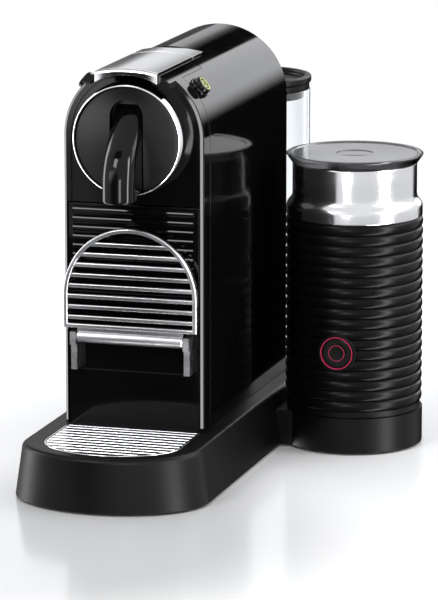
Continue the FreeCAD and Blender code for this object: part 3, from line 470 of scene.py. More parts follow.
def front_frame():
    """The bezel round the brewing head, with its chamfered rim and the step under the lever."""
    ahead, through = -2.0, 22.0
    leg_end = (BASE_HEIGHT + 4.0) / PER_METRE
    shoulder_y = FRONT_Y + BEZEL_CHAMFER / PER_METRE

    def on_front(a, b):
        return max(a.y, b.y) < FRONT_Y + NEAR and max(a.z, b.z) > leg_end

    def on_shoulder(a, b):
        return max(abs(a.y - shoulder_y), abs(b.y - shoulder_y)) < NEAR

    rim = slab("front_frame", arch_outline(BODY_HALF, BASE_HEIGHT + 0.8, 0.0), (0.0, BEZEL_REAR, 0.0))
    bevel_where(rim, on_front, BEZEL_CHAMFER, 1)
    bevel_where(rim, on_shoulder, BEZEL_SOFTENING, 3)
    carve(rim, block("leg_gap", (-LEG_INNER, ahead, 30.0), (LEG_INNER, 18.0, FASCIA_BOTTOM)))
    carve(rim, slab("head_gap", arch_outline(HEAD_INNER, FASCIA_BOTTOM - 0.2, ahead), (0.0, through, 0.0)))
    crown = [spot(x, ahead, z) for x, z in arc((0.0, ARCH_Z), STEP_RADIUS, 130.0, 50.0, 32)]
    crown += [spot(OPENING_HALF, ahead, SKY_Z), spot(-OPENING_HALF, ahead, SKY_Z)]
    step = slab("lever_step", crown, (0.0, through, 0.0))
    carve(step, block("step_width", (-OPENING_HALF, -5.0, 230.0), (OPENING_HALF, 25.0, 320.0)), "INTERSECT")
    carve(rim, step)
    carve(rim, block("capsule_gap", (-CAPSULE_HALF, 5.5, CUT_Z), (CAPSULE_HALF, 20.0, 290.0)))
    round_edges(rim, 0.3, 2, 40.0)
    dress(rim, "chassis", "gloss_black", ["front_bezel"])


# Brewing head: disc, ring and spout

HEAD_SEAT = -0.7
DOME_RADIUS = 34.0
DOME_CROWN = 14.2
DOME_FALL = 1.3
DOME_POINTS = 12
SLOT_HALF = 11.3
SLOT_MIDDLE_Z = 244.9
SLOT_BOTTOM_Z = 150.0
SLOT_FRONT = -20.0
SLOT_DEPTH = 15.0


def brewing_disc():
    """The satin disc with the groove that the spout comes out of."""
    shares = [i / DOME_POINTS for i in range(DOME_POINTS + 1)]
    profile = [(DOME_RADIUS * share, DOME_CROWN - DOME_FALL * share ** 2) for share in shares]
    profile += [(34.6, 12.6), (34.9, 12.1), (34.9, HEAD_SEAT), (0.0, HEAD_SEAT)]
    disc = lathe("brewing_disc", profile, spot(0.0, 0.0, ARCH_Z), FORWARD, ACROSS, 128)
    groove = [spot(-SLOT_HALF, SLOT_FRONT, SLOT_BOTTOM_Z), spot(SLOT_HALF, SLOT_FRONT, SLOT_BOTTOM_Z)]
    groove += [spot(x, SLOT_FRONT, z) for x, z in arc((0.0, SLOT_MIDDLE_Z), SLOT_HALF, 0.0, 180.0, 32)]
    carve(disc, slab("spout_groove", groove, (0.0, SLOT_DEPTH, 0.0)))
    round_edges(disc, 0.45, 2, 50.0)
    dress(disc, "chassis", "disc_charcoal", ["head_disc"])


def bright_ring():
    """The plated ring round the disc, with a softened front."""
    profile = [(37.8, HEAD_SEAT), (37.8, 3.0), (37.75, 6.0), (37.6, 8.5), (37.35, 10.8), (37.0, 12.6)]
    profile += [(36.5, 14.0), (36.0, 14.75), (35.6, 15.0), (35.25, 14.8), (35.0, 14.4), (35.0, HEAD_SEAT)]
    ring = lathe("bright_ring", profile, spot(0.0, 0.0, ARCH_Z), FORWARD, ACROSS, 160)
    dress(ring, "chassis", "chrome", ["chrome_ring"], 40.0)


SPOUT_HALF = 10.8
SPOUT_FRONT = -40.0
SPOUT_BACK = -5.2
SPOUT_TOP_Z = 251.9
SPOUT_HEEL_Z = 197.9
SPOUT_CURVE = 37.5
SPOUT_CURVE_Z = 201.9
SPOUT_CURVE_RISE = 26.5
SPOUT_SLOPE = math.radians(45.0)
NOSE_DEPTH = 9.5
NOSE_POINTS = 28
OUTLET_TOP_Z = 197.4
OUTLET_BACK = -24.5
OUTLET_SLANT = 0.5
OUTLET_Y = -33.0
OUTLET_BORE = 4.0


def spout_ring(z, inset=0.0):
    """The spout cut level at one height: a flat back, straight sides and a rounded nose."""
    curve_y = SPOUT_FRONT + SPOUT_CURVE
    slope_z = SPOUT_CURVE_Z + SPOUT_CURVE * math.sin(SPOUT_SLOPE)
    if z <= SPOUT_CURVE_Z:
        front = SPOUT_FRONT + inset
    elif z <= slope_z:
        front = curve_y - math.sqrt(SPOUT_CURVE ** 2 - (z - SPOUT_CURVE_Z) ** 2)
    else:
        front = curve_y - SPOUT_CURVE * math.cos(SPOUT_SLOPE) + (z - slope_z)
    back = SPOUT_BACK
    if z < SPOUT_HEEL_Z:
        back = OUTLET_BACK - OUTLET_SLANT * (OUTLET_TOP_Z - z) - inset
    rise = max(0.0, z - SLOT_MIDDLE_Z + 0.1)
    half = math.sqrt(SPOUT_HALF ** 2 - rise ** 2) - inset
    depth = min(NOSE_DEPTH, 0.98 * (back - front))
    ring = [spot(half, back, z), spot(-half, back, z)]
    for i in range(NOSE_POINTS + 1):
        turn = math.pi * (1.0 + i / NOSE_POINTS)
        ring.append(spot(half * math.cos(turn), front + depth + depth * math.sin(turn), z))
    return ring


def coffee_spout():
    """The curved nose, drawn in level outlines from its outlet up to the top of the groove."""
    rings = [spout_ring(191.7, 0.9), spout_ring(191.9, 0.5), spout_ring(192.4, 0.15), spout_ring(193.2)]
    levels = [OUTLET_TOP_Z, SPOUT_HEEL_Z, SPOUT_CURVE_Z]
    levels += [SPOUT_CURVE_Z + SPOUT_CURVE_RISE * i / 12.0 for i in range(1, 13)]
    levels += [232.0, 236.0, 240.0, 243.0, 245.5, 247.5, 249.2, 250.6, SPOUT_TOP_Z]
    nose = loft("coffee_spout", rings + [spout_ring(z) for z in levels])
    bar = round_bar(OUTLET_BORE, 0.0, 16.0)
    carve(nose, lathe("outlet_bore", bar, spot(0.0, OUTLET_Y, 190.0), UP, ACROSS, 40))
    dress(nose, "chassis", "gloss_black", ["spout"], 40.0)


# Lever and the bright strip behind it

PIVOT_Y = 24.0
PIVOT_Z = 237.0
PIVOT_HOLE = 3.06
CRANK = 21.0
CRANK_LEAN = math.radians(37.5)
PIN_Y = PIVOT_Y - CRANK * math.sin(CRANK_LEAN)
PIN_Z = PIVOT_Z + CRANK * math.cos(CRANK_LEAN)
PIN_HOLE = 2.51
HUB_RADIUS = 7.0
HORN_RADIUS = 4.6
ARM_INNER = 23.4
ARM_WIDTH = 3.0
ARM_TOP_Z = 268.0
CARRIER_FRONT = -11.0
CARRIER_WALL = 3.0
CARRIER_DEPTH = 81.0
CREST_Z = ARCH_Z + BODY_HALF - 0.6
PLATE_HALF = 21.0
PLATE_CURVE = 100.0
PLATE_FRONT = -15.0
PLATE_REAR = 64.4
PLATE_UNDER = 45.4
LIP_UNDER = 43.0
LIP_REAR = -8.0
LIP_ROUND = 2.6
LIP_STEPS = 6
BED_RADIUS = 45.2
TRIM_FRONT = 65.6
TRIM_REAR = 87.0
TRIM_UNDER = 45.9


def lever_arm(x):
    """One hanging arm with its hub and the horn that holds the crank pin."""
    side = [(PIVOT_Y - HUB_RADIUS, PIVOT_Z)]
    side += arc((PIVOT_Y, PIVOT_Z), HUB_RADIUS, 180.0, 360.0, 18)[1:]
    side += [(PIVOT_Y + 11.6, ARM_TOP_Z), (PIN_Y + 6.0, ARM_TOP_Z)]
    side += arc((PIN_Y, PIN_Z), HORN_RADIUS, 60.0, 230.0, 14)
    arm = slab("lever_arm", [spot(x, y, z) for y, z in side], (ARM_WIDTH, 0.0, 0.0))
    for y, z, radius in ((PIVOT_Y, PIVOT_Z, PIVOT_HOLE), (PIN_Y, PIN_Z, PIN_HOLE)):
        bar = round_bar(radius, 0.0, 10.0)
        carve(arm, lathe("pin_hole", bar, spot(x - 4.0, y, z), ACROSS, UP, 32))
    return arm


def plate_outline(half, y, under, drop=0.0):
    """The bright plate's cross-section: a flat curve on top, the body's own curve underneath."""
    lean = math.degrees(math.asin(half / PLATE_CURVE))
    top = arc((0.0, CREST_Z - PLATE_CURVE - drop), PLATE_CURVE, 90.0 - lean, 90.0 + lean, 24)
    reach = math.degrees(math.acos(half / under))
    return [spot(x, y, z) for x, z in top + arc((0.0, ARCH_Z), under, 180.0 - reach, reach, 24)]


def plate_bed(name, front_y, rear_y):
    """A cutter for the bed that the bright plate lies in."""
    half = PLATE_HALF + 0.2
    reach = math.degrees(math.acos(half / BED_RADIUS))
    outline = [spot(x, front_y, z) for x, z in arc((0.0, ARCH_Z), BED_RADIUS, 180.0 - reach, reach, 24)]
    outline += [spot(half, front_y, SKY_Z), spot(-half, front_y, SKY_Z)]
    return slab(name, outline, (0.0, rear_y - front_y, 0.0))


def lever_carrier():
    """The lever's black carrier, flush with the body, and its two arms."""
    band = arc((0.0, ARCH_Z), BODY_HALF, 45.0, 135.0, 40)
    band += arc((0.0, ARCH_Z), BODY_HALF - CARRIER_WALL, 135.0, 45.0, 40)
    outline = [spot(x, CARRIER_FRONT, z) for x, z in band]
    carrier = slab("lever_carrier", outline, (0.0, CARRIER_DEPTH, 0.0))
    plan = bowed_plan(LEVER_HALF, -30.0, LEVER_REAR, CUT_Z)
    carve(carrier, slab("lever_plan", plan, (0.0, 0.0, SKY_Z - CUT_Z)), "INTERSECT")
    carve(carrier, plate_bed("carrier_bed", -20.0, 80.0))
    round_edges(carrier, 0.5, 2, 60.0)
    join(carrier, lever_arm(ARM_INNER), lever_arm(-ARM_INNER - ARM_WIDTH))
    dress(carrier, "lever", "gloss_black", ["lever_handle"], 35.0)


def lever_plate():
    """The lever's bright plate with its thick rolled lip."""
    rings = []
    for i in range(LIP_STEPS, -1, -1):
        turn = math.radians(90.0 / LIP_STEPS * i)
        y = PLATE_FRONT + LIP_ROUND * (1.0 - math.sin(turn))
        rings.append(plate_outline(PLATE_HALF, y, LIP_UNDER, LIP_ROUND * (1.0 - math.cos(turn))))
    rings.append(plate_outline(PLATE_HALF, LIP_REAR, LIP_UNDER))
    rings.append(plate_outline(PLATE_HALF, LIP_REAR + 0.2, PLATE_UNDER))
    rings.append(plate_outline(PLATE_HALF, PLATE_REAR, PLATE_UNDER))
    plate = loft("lever_plate", rings)
    round_edges(plate, 0.3, 3, 50.0)
    dress(plate, "lever", "chrome", (), 40.0, "plate_chrome")


def lever_trim():
    """The fixed bright strip that carries the plate's line on behind the lever."""
    outline = plate_outline(PLATE_HALF, TRIM_FRONT, TRIM_UNDER)
    trim = slab("lever_trim", outline, (0.0, TRIM_REAR - TRIM_FRONT, 0.0))
    round_edges(trim, 0.15, 2, 50.0)
    dress(trim, "chassis", "chrome", (), 40.0, "plate_chrome")


# Push buttons on the shoulders

MARK_HALF = 0.45
ESPRESSO_MARK = 2.2
LUNGO_MARK = 2.8


def shoulder_button(side, name, body, node, mark_radius):
    """A round cap, with a plain lit ring on top and another round its edge."""
    foot, axis = button_foot(side), button_axis(side)
    cap = [(0.0, 5.1), (3.9, 5.1), (4.4, 5.5), (5.2, 5.6), (5.7, 5.3), (6.0, 4.7), (6.0, 2.5)]
    cap += [(4.6, 2.4), (4.6, -5.5), (0.0, -5.5)]
    key = lathe(name, cap, foot, axis, BACKWARD, 64)
    dress(key, body, "key_black", [node], 35.0)
    inner, outer = mark_radius - MARK_HALF, mark_radius + MARK_HALF
    mark = [(inner, 5.0), (outer, 5.0), (outer, 5.2), (inner, 5.2)]
    halo = lathe(name + "_mark", mark, foot, axis, BACKWARD, 64)
    dress(halo, body, "key_black", (), 35.0, "lit_green")
    edge = [(4.05, 5.25), (4.45, 5.6), (4.95, 5.68), (4.85, 5.75), (4.4, 5.7), (4.0, 5.35)]
    rim = lathe(name + "_edge", edge, foot, axis, BACKWARD, 64)
    dress(rim, body, "key_black", (), 35.0, "lit_green")


def button_seats():
    """The raised collars that the two push buttons sit in."""
    profile = [(4.9, -4.0), (7.2, -4.0), (7.2, 1.6), (7.05, 2.0), (6.8, 2.2), (6.5, 2.15), (6.3, 1.9)]
    profile += [(6.3, 0.6), (4.9, 0.6)]
    seats = []
    for side in (-1, 1):
        seats.append(lathe("button_seats", profile, button_foot(side), button_axis(side), BACKWARD, 64))
    dress(join(*seats), "chassis", "gloss_black", ["button_collars"], 35.0)


# Front panel, drip tray grid and cup rest

PANEL_HALF = 44.5
PANEL_FRONT = 0.8
PANEL_REAR = 4.0
RIB_HALF = 41.0
RIB_PITCH = 6.0
RIB_COUNT = 13


def ribbed_front():
    """The black front wall, with level ribs that have a narrow slanted edge along the top."""
    wall = block("ribbed_front", (-PANEL_HALF, PANEL_FRONT, BASE_HEIGHT + 0.1),
                 (PANEL_HALF, PANEL_REAR, FASCIA_BOTTOM - 1.0))
    carve(wall, block("hinge_pocket", (-43.0, -1.0, 74.0), (43.0, 1.6, HINGE_Z)))
    round_edges(wall, 0.3, 2, 50.0)
    ribs = []
    for i in range(RIB_COUNT):
        z = FASCIA_BOTTOM - 5.0 - RIB_PITCH * i
        side = [(0.9, z - 2.6), (-1.4, z - 0.8), (-1.4, z + 0.3), (-1.0, z + 1.05), (0.9, z + 2.6)]
        outline = [spot(-RIB_HALF, y, height) for y, height in side]
        ribs.append(slab("front_rib", outline, (2.0 * RIB_HALF, 0.0, 0.0)))
    dress(join(wall, *ribs), "module", "gloss_black", ["ribbed_panel"], 20.0)


GRID_HALF = 46.0
GRID_FRONT = -78.5
GRID_REAR = -1.0
GRID_LOW = BASE_HEIGHT - 2.2
GRID_RIM = 1.8
GRID_BARS = 11
GRID_PITCH = 6.9
GRID_BAR_HALF = 1.6
OVAL_Y = -44.0


def oval_outline(inset, z, count=56):
    """The grid seen from above: straight sides that end in a half oval towards the front."""
    half, front_y, rear_y = GRID_HALF - inset, GRID_FRONT + inset, GRID_REAR - inset
    outline = [spot(half, rear_y, z), spot(-half, rear_y, z)]
    for i in range(count + 1):
        turn = math.pi * (1.0 + i / count)
        outline.append(spot(half * math.cos(turn), OVAL_Y + (OVAL_Y - front_y) * math.sin(turn), z))
    return outline


def grid_reach(y, inset):
    """Half the grid's width at one place along it."""
    if y > OVAL_Y:
        return GRID_HALF - inset
    share = (OVAL_Y - y) / (OVAL_Y - GRID_FRONT - inset)
    return (GRID_HALF - inset) * math.sqrt(max(0.0, 1.0 - share * share))


def drip_grid():
    """A bright rim with one rounded bar after another across it."""
    rim = slab("grid_rim", oval_outline(0.0, GRID_LOW), (0.0, 0.0, 2.4))
    carve(rim, slab("grid_mouth", oval_outline(GRID_RIM, GRID_LOW - 2.0), (0.0, 0.0, 8.0)))
    round_edges(rim, 0.5, 3, 50.0)
    bars = []
    for i in range(GRID_BARS):
        y = GRID_REAR - 5.0 - GRID_PITCH * i
        reach = grid_reach(y - 1.0, 0.6)
        if reach > 6.0:
            bar = block("grid_bar", (-reach, y - GRID_BAR_HALF, GRID_LOW + 0.2),
                        (reach, y + GRID_BAR_HALF, GRID_LOW + 2.2))
            bars.append(round_edges(bar, 0.7, 3, 50.0))
    dress(join(rim, *bars), "grid", "steel", ["drip_grid"], 35.0, "bright_steel")


SUPPORT_Y = -6.5
SUPPORT_HALF = 45.5
SUPPORT_MIDDLE_Z = 125.0
SUPPORT_BARS = 8
SUPPORT_PITCH = 7.0
SUPPORT_BAR_HALF = 1.5
SUPPORT_FRAME = 3.0
HINGE_Z = 97.0
HINGE_HALF = 36.0
HINGE_BORE = 2.06
REST_LOW = HINGE_Z + 6.0


def rest_outline(inset, y):
    """The cup rest's frame seen from the front: a level foot under a half circle."""
    half, low = SUPPORT_HALF - inset, REST_LOW + inset
    return [spot(-half, y, low), spot(half, y, low)] + [
        spot(x, y, z) for x, z in arc((0.0, SUPPORT_MIDDLE_Z), half, 0.0, 180.0, 56)]


def cup_rest():
    """The fold-down rest: a rounded frame, level bars and a hinge barrel."""
    front, rear = SUPPORT_Y - SUPPORT_BAR_HALF, SUPPORT_Y + SUPPORT_BAR_HALF
    rest = slab("cup_rest", rest_outline(0.0, SUPPORT_Y - 2.5), (0.0, 5.0, 0.0))
    carve(rest, slab("rest_window", rest_outline(SUPPORT_FRAME, SUPPORT_Y - 6.0), (0.0, 12.0, 0.0)))
    round_edges(rest, 1.0, 3, 50.0)
    parts = []
    for i in range(1, SUPPORT_BARS + 1):
        z = REST_LOW + SUPPORT_PITCH * i
        rise = max(0.0, z - SUPPORT_MIDDLE_Z)
        reach = math.sqrt((SUPPORT_HALF - 1.5) ** 2 - rise ** 2)
        bar = block("rest_bar", (-reach, front, z - SUPPORT_BAR_HALF), (reach, rear, z + SUPPORT_BAR_HALF))
        parts.append(round_edges(bar, 0.9, 3, 50.0))
    length = 2.0 * HINGE_HALF
    barrel = [(HINGE_BORE, 0.0), (3.6, 0.0), (4.0, 0.5)]
    barrel += [(4.0, length - 0.5), (3.6, length), (HINGE_BORE, length)]
    parts.append(lathe("rest_barrel", barrel, spot(-HINGE_HALF, SUPPORT_Y, HINGE_Z), ACROSS, UP, 48))
    web = block("rest_web", (-HINGE_HALF, front, HINGE_Z + 3.2), (HINGE_HALF, rear, REST_LOW + 1.0))
    parts.append(round_edges(web, 0.5, 2, 50.0))
    dress(join(rest, *parts), "support", "steel", ["cup_support"], 35.0)


# Water tank

TANK_HALF = 52.6
TANK_FRONT = 202.6
TANK_REAR = 277.0
TANK_BOTTOM = 36.5
TANK_TOP = 228.0
TANK_WALL = 2.4
TANK_FLOOR = 3.0
TANK_FRONT_RADIUS = 32.0
TANK_REAR_RADIUS = 38.0
VALVE_Y = 222.0
VALVE_HOLE = 4.0
COLLAR_LOW = 31.0
LID_RIM_BOTTOM = 232.0
LID_RIM_TOP = 237.2
LID_OVERHANG = 0.8
LID_WELL = 3.8
LID_PLUG = 6.0


def tank_outline(grow, z):
    """The tank seen from above: round ends, a little tighter at the front than at the back."""
    half, front, rear = TANK_HALF + grow, TANK_FRONT - grow, TANK_REAR + grow
    small, large = TANK_FRONT_RADIUS + grow, TANK_REAR_RADIUS + grow
    plan = arc((half - small, front + small), small, -90.0, 0.0, 24)
    plan += arc((half - large, rear - large), large, 0.0, 90.0, 28)
    plan += arc((large - half, rear - large), large, 90.0, 180.0, 28)
    plan += arc((small - half, front + small), small, 180.0, 270.0, 24)
    return [spot(x, y, z) for x, y in plan]


def clear_tank():
    """The clear wall and floor, with the hole and the collar that the valve sits in."""
    tank = slab("clear_tank", tank_outline(0.0, TANK_BOTTOM), (0.0, 0.0, TANK_TOP - TANK_BOTTOM))
    inside = tank_outline(-TANK_WALL, TANK_BOTTOM + TANK_FLOOR)
    carve(tank, slab("tank_inside", inside, (0.0, 0.0, 250.0)))
    hole = [spot(x, y, TANK_BOTTOM - PAST) for x, y in arc((0.0, VALVE_Y), VALVE_HOLE, 0.0, 352.5, 47)]
    carve(tank, slab("valve_hole", hole, (0.0, 0.0, 4.0 * PAST)))
    round_edges(tank, 0.4, 2, 50.0)
    collar = [(6.0, COLLAR_LOW), (8.0, COLLAR_LOW), (8.0, TANK_BOTTOM), (6.0, TANK_BOTTOM)]
    seat = lathe("valve_collar", collar, spot(0.0, VALVE_Y, 0.0), UP, ACROSS, 48)
    dress(join(tank, seat), "tank", "clear_plastic", ["water_tank"], 40.0)


def tank_cover():
    """The black lid: a rounded rim with a sunk floor, a neck, and the plug inside the clear wall."""
    rim = tank_outline(LID_OVERHANG, LID_RIM_BOTTOM)
    lid = slab("tank_cover", rim, (0.0, 0.0, LID_RIM_TOP - LID_RIM_BOTTOM))
    carve(lid, slab("lid_well", tank_outline(-4.2, LID_RIM_TOP - LID_WELL), (0.0, 0.0, 10.0)))
    round_edges(lid, 1.5, 5, 50.0)
    neck = slab("lid_neck", tank_outline(-0.6, TANK_TOP + SEAM), (0.0, 0.0, LID_RIM_BOTTOM - TANK_TOP))
    round_edges(neck, 0.6, 2, 50.0)
    plug = slab("lid_plug", tank_outline(-4.0, TANK_TOP - LID_PLUG), (0.0, 0.0, LID_PLUG + 0.8))
    round_edges(plug, 0.6, 2, 50.0)
    dress(join(lid, neck, plug), "tank_cover", "satin_black", ["tank_lid"], 40.0)


# Milk frother

SLEEVE_BOTTOM = 29.4
SLEEVE_TOP = 157.0
SLEEVE_INNER = 43.2
SLEEVE_VALLEY = 45.2
SLEEVE_RIBS = 18
RIB_SWELL = 1.4
RIB_FULLNESS = 0.62
RIB_POINTS = 8
FROTHER_BUTTON_Z = 70.0
FROTHER_BUTTON_HOLE = 12.2
COLLAR_TOP = 193.2


def ribbed_sleeve():
    """The jug's wall: soft round ribs with narrow valleys, and the boss round its button."""
    pitch = (SLEEVE_TOP - SLEEVE_BOTTOM) / SLEEVE_RIBS
    profile = [(SLEEVE_INNER, SLEEVE_BOTTOM)]
    for i in range(SLEEVE_RIBS):
        for k in range(RIB_POINTS):
            swell = math.sin(math.pi * k / RIB_POINTS) ** RIB_FULLNESS
            profile.append((SLEEVE_VALLEY + RIB_SWELL * swell, SLEEVE_BOTTOM + pitch * (i + k / RIB_POINTS)))
    profile += [(SLEEVE_VALLEY, SLEEVE_TOP), (SLEEVE_INNER, SLEEVE_TOP)]
    wall = lathe("ribbed_sleeve", profile, jug_spot(0, 0, 0), UP, ACROSS, 144)
    button = jug_spot(0, 0, FROTHER_BUTTON_Z)
    bar = round_bar(FROTHER_BUTTON_HOLE, 30.0, 60.0)
    carve(wall, lathe("button_opening", bar, button, FORWARD, ACROSS, 64))
    boss = [(11.3, 42.0), (13.4, 42.0), (13.4, 46.0), (13.2, 46.4), (12.8, 46.6), (11.5, 46.6), (11.3, 46.4)]
    ring = lathe("button_boss", boss, button, FORWARD, ACROSS, 80)
    dress(join(wall, ring), "jug", "sleeve_black", ["jug_sleeve"], 40.0)


def frother_controls():
    """The round key, the red light ring about it and the thin red ring on its face."""
    button = jug_spot(0, 0, FROTHER_BUTTON_Z)
    halo = [(10.35, 41.5), (11.2, 41.5), (11.2, 46.5), (11.05, 46.7), (10.5, 46.7), (10.35, 46.5)]
    ring = lathe("light_ring", halo, button, FORWARD, ACROSS, 96)
    dress(ring, "jug", "light_red", ["led_ring"], 40.0)
    cap = [(0.0, 46.2), (6.0, 46.25), (9.2, 46.45), (9.7, 46.3), (9.9, 45.9), (9.9, 42.4), (0.0, 42.4)]
    key = lathe("frother_key", cap, button, FORWARD, ACROSS, 80)
    dress(key, "frother_key", "key_black", ["frother_button"], 40.0)
    line = [(5.1, 46.1), (5.5, 46.1), (5.5, 46.32), (5.1, 46.32)]
    mark = lathe("frother_key_mark", line, button, FORWARD, ACROSS, 80)
    dress(mark, "frother_key", "light_red", (), 40.0)


def polished_collar():
    """The bright neck that flares out to the ribbed wall."""
    low = SLEEVE_TOP + 0.1
    foot = [(43.4, 0.0), (45.4, 0.0), (46.0, 0.4), (46.2, 1.0), (46.2, 6.7)]
    flare = [(46.1, 7.6), (45.8, 8.5), (45.3, 9.5), (44.6, 10.4), (43.9, 11.2), (43.2, 12.1), (42.7, 13.0)]
    flare += [(42.35, 14.0), (42.2, 15.2)]
    top = [(42.2, COLLAR_TOP - 0.4), (42.0, COLLAR_TOP), (40.4, COLLAR_TOP), (40.2, COLLAR_TOP - 0.2)]
    inside = [(40.2, 14.0), (43.4, 8.0)]
    profile = [(radius, low + rise) for radius, rise in foot + flare] + top
    profile += [(radius, low + rise) for radius, rise in inside]
    collar = lathe("polished_collar", profile, jug_spot(0, 0, 0), UP, ACROSS, 144)
    dress(collar, "jug", "chrome", ["jug_collar"], 50.0, "collar_steel")


def smoky_lid():
    """The lid: a tapered cap with a raised rim, a shallow well and a plug that reaches into the cup."""
    plug = [(0.0, 196.1), (33.6, 196.1), (34.0, 195.7), (34.0, 185.8), (34.4, 185.6), (36.6, 185.6)]
    plug += [(37.0, 186.0), (37.0, 188.4), (35.6, 188.7), (35.6, 191.0), (37.0, 191.2), (37.0, 193.6)]
    cap = [(42.4, 193.6), (42.9, 193.9), (45.9, 198.2), (46.35, 199.0), (46.3, 199.6), (45.8, 200.0)]
    well = [(43.3, 200.0), (42.7, 199.8), (42.2, 199.3), (41.6, 199.2), (13.0, 199.2), (12.4, 199.0)]
    well += [(12.0, 198.7), (0.0, 198.7)]
    lid = lathe("smoky_lid", plug + cap + well, jug_spot(0, 0, 0), UP, ACROSS, 144)
    dress(lid, "jug_cover", "smoky_plastic", ["jug_lid"], 40.0)


# Camera, floor and lights, in metres

CAMERA_AIM = Vector((-0.045, -0.003, 0.120))
CAMERA_AZIMUTH = math.radians(17.06)
CAMERA_HEIGHT_ANGLE = math.radians(11.31)
CAMERA_DISTANCE = 2.878
FOCAL_PIXELS = 4281.0
SENSOR = 36.0
IMAGE_WIDTH = 438
IMAGE_HEIGHT = 600
AIM_PIXEL = (173.9, 277.0)
STUDIO_WHITE = (0.97, 0.98, 1.0, 1.0)
PURE_WHITE = (1.0, 1.0, 1.0, 1.0)
ROOM_LIGHT = 1.52
BACKDROP_LIGHT = 1.2
FLOOR_SIZE = 14.0
FLOOR_MIDDLE = (0.0, 1.5, -0.0002)
FLOOR_SHEEN_MIDDLE = (-0.06, -0.26, 0.0)


def add_camera():
    """Stand where the photograph was taken from, with the aim point at its own pixel."""
    away = Vector((math.sin(CAMERA_AZIMUTH) * math.cos(CAMERA_HEIGHT_ANGLE),
                   -math.cos(CAMERA_AZIMUTH) * math.cos(CAMERA_HEIGHT_ANGLE), math.sin(CAMERA_HEIGHT_ANGLE)))
    right = Vector((math.cos(CAMERA_AZIMUTH), math.sin(CAMERA_AZIMUTH), 0.0))
    up = away.cross(right)
    step = CAMERA_DISTANCE / FOCAL_PIXELS
    middle = CAMERA_AIM + right * (IMAGE_WIDTH / 2 - AIM_PIXEL[0]) * step
    middle += up * (AIM_PIXEL[1] - IMAGE_HEIGHT / 2) * step
    eye = CAMERA_AIM + away * CAMERA_DISTANCE
    data = bpy.data.cameras.new("camera")
    data.sensor_width = SENSOR
    data.lens = FOCAL_PIXELS * SENSOR / IMAGE_HEIGHT
    camera = bpy.data.objects.new("camera", data)
    camera.location = eye
    camera.rotation_euler = (middle - eye).to_track_quat("-Z", "Y").to_euler()
    bpy.context.scene.collection.objects.link(camera)
    bpy.context.scene.camera = camera


def add_softbox(name, stand, target, width, height, power):
    """A lamp behind a rectangle of cloth, turned to its target."""
    data = bpy.data.lights.new(name, "AREA")
    data.shape = "RECTANGLE"
    data.size = width
    data.size_y = height
    data.energy = power
    lamp = bpy.data.objects.new(name, data)
    lamp.location = stand
    lamp.rotation_euler = (Vector(target) - Vector(stand)).to_track_quat("-Z", "Y").to_euler()
    bpy.context.scene.collection.objects.link(lamp)


def chain(tree, operation, sources):
    """Work through several values with one operation."""
    total = sources[0]
    for source in sources[1:]:
        node = tree.nodes.new("ShaderNodeMath")
        node.operation = operation
        tree.links.new(total, node.inputs[0])
        tree.links.new(source, node.inputs[1])
        total = node.outputs["Value"]
    return total


def sum_of(tree, *sources):
    return chain(tree, "ADD", sources)


def product_of(tree, *sources):
    return chain(tree, "MULTIPLY", sources)


def most_of(tree, *sources):
    return chain(tree, "MAXIMUM", sources)


def ramp_of(tree, source, start, end, low, high):
    """A soft step from low to high as the source goes from start to end."""
    node = tree.nodes.new("ShaderNodeMapRange")
    node.interpolation_type = "SMOOTHSTEP"
    node.inputs["From Min"].default_value = start
    node.inputs["From Max"].default_value = end
    node.inputs["To Min"].default_value = low
    node.inputs["To Max"].default_value = high
    tree.links.new(source, node.inputs["Value"])
    return node.outputs["Result"]


def band_of(tree, source, start, end, soft, height):
    """A plateau between two values with soft sides."""
    return product_of(tree, ramp_of(tree, source, start - soft, start + soft, 0.0, height),
                      ramp_of(tree, source, end - soft, end + soft, 1.0, 0.0))


def split(tree, vector):
    """The three numbers of a vector."""
    parts = tree.nodes.new("ShaderNodeSeparateXYZ")
    tree.links.new(vector, parts.inputs["Vector"])
    return parts.outputs["X"], parts.outputs["Y"], parts.outputs["Z"]


def studio_glow(tree, place, path):
    """What reflections see: pale in front and at the sides, dark behind, with screens and two strips."""
    x, y, z = split(tree, place.outputs["Generated"])
    front = ramp_of(tree, y, 0.30, 0.02, 0.0, 1.1)
    right = ramp_of(tree, x, 0.42, 0.5, 0.0, 1.1)
    left = ramp_of(tree, x, -0.5, -0.75, 0.0, 0.45)
    room_glow = product_of(tree, most_of(tree, front, right, left), ramp_of(tree, z, -0.6, 0.0, 0.35, 1.0))
    behind = ramp_of(tree, y, 0.5, 0.7, 0.0, 1.0)
    right_screen = product_of(tree, behind, band_of(tree, x, 0.03, 0.42, 0.012, 2.5),
                              ramp_of(tree, z, -0.05, 0.14, 0.0, 1.0))
    back_screen = product_of(tree, behind, ramp_of(tree, x, -0.13, -0.25, 0.0, 0.9),
                             ramp_of(tree, z, 0.095, 0.12, 0.12, 1.0), ramp_of(tree, z, 0.2, 0.25, 1.0, 0.55))
    first = ramp_of(tree, path.outputs["Glossy Depth"], 1.0, 2.0, 1.0, 0.0)
    reach = product_of(tree, first, ramp_of(tree, z, 0.5, 0.66, 1.0, 0.0))
    right_strip = product_of(tree, reach, ramp_of(tree, x, 0.3, 0.4, 0.0, 1.0),
                             band_of(tree, y, -0.38, -0.22, 0.02, 22.0))
    left_strip = product_of(tree, reach, ramp_of(tree, x, -0.3, -0.4, 0.0, 1.0),
                            band_of(tree, y, 0.05, 0.36, 0.03, 7.0))
    high_back = product_of(tree, ramp_of(tree, y, 0.1, 0.3, 0.0, 1.0), ramp_of(tree, x, -0.5, 0.2, 0.0, 4.0),
                           band_of(tree, z, 0.42, 0.75, 0.04, 1.0))
    return sum_of(tree, room_glow, right_screen, back_screen, right_strip, left_strip, high_back)


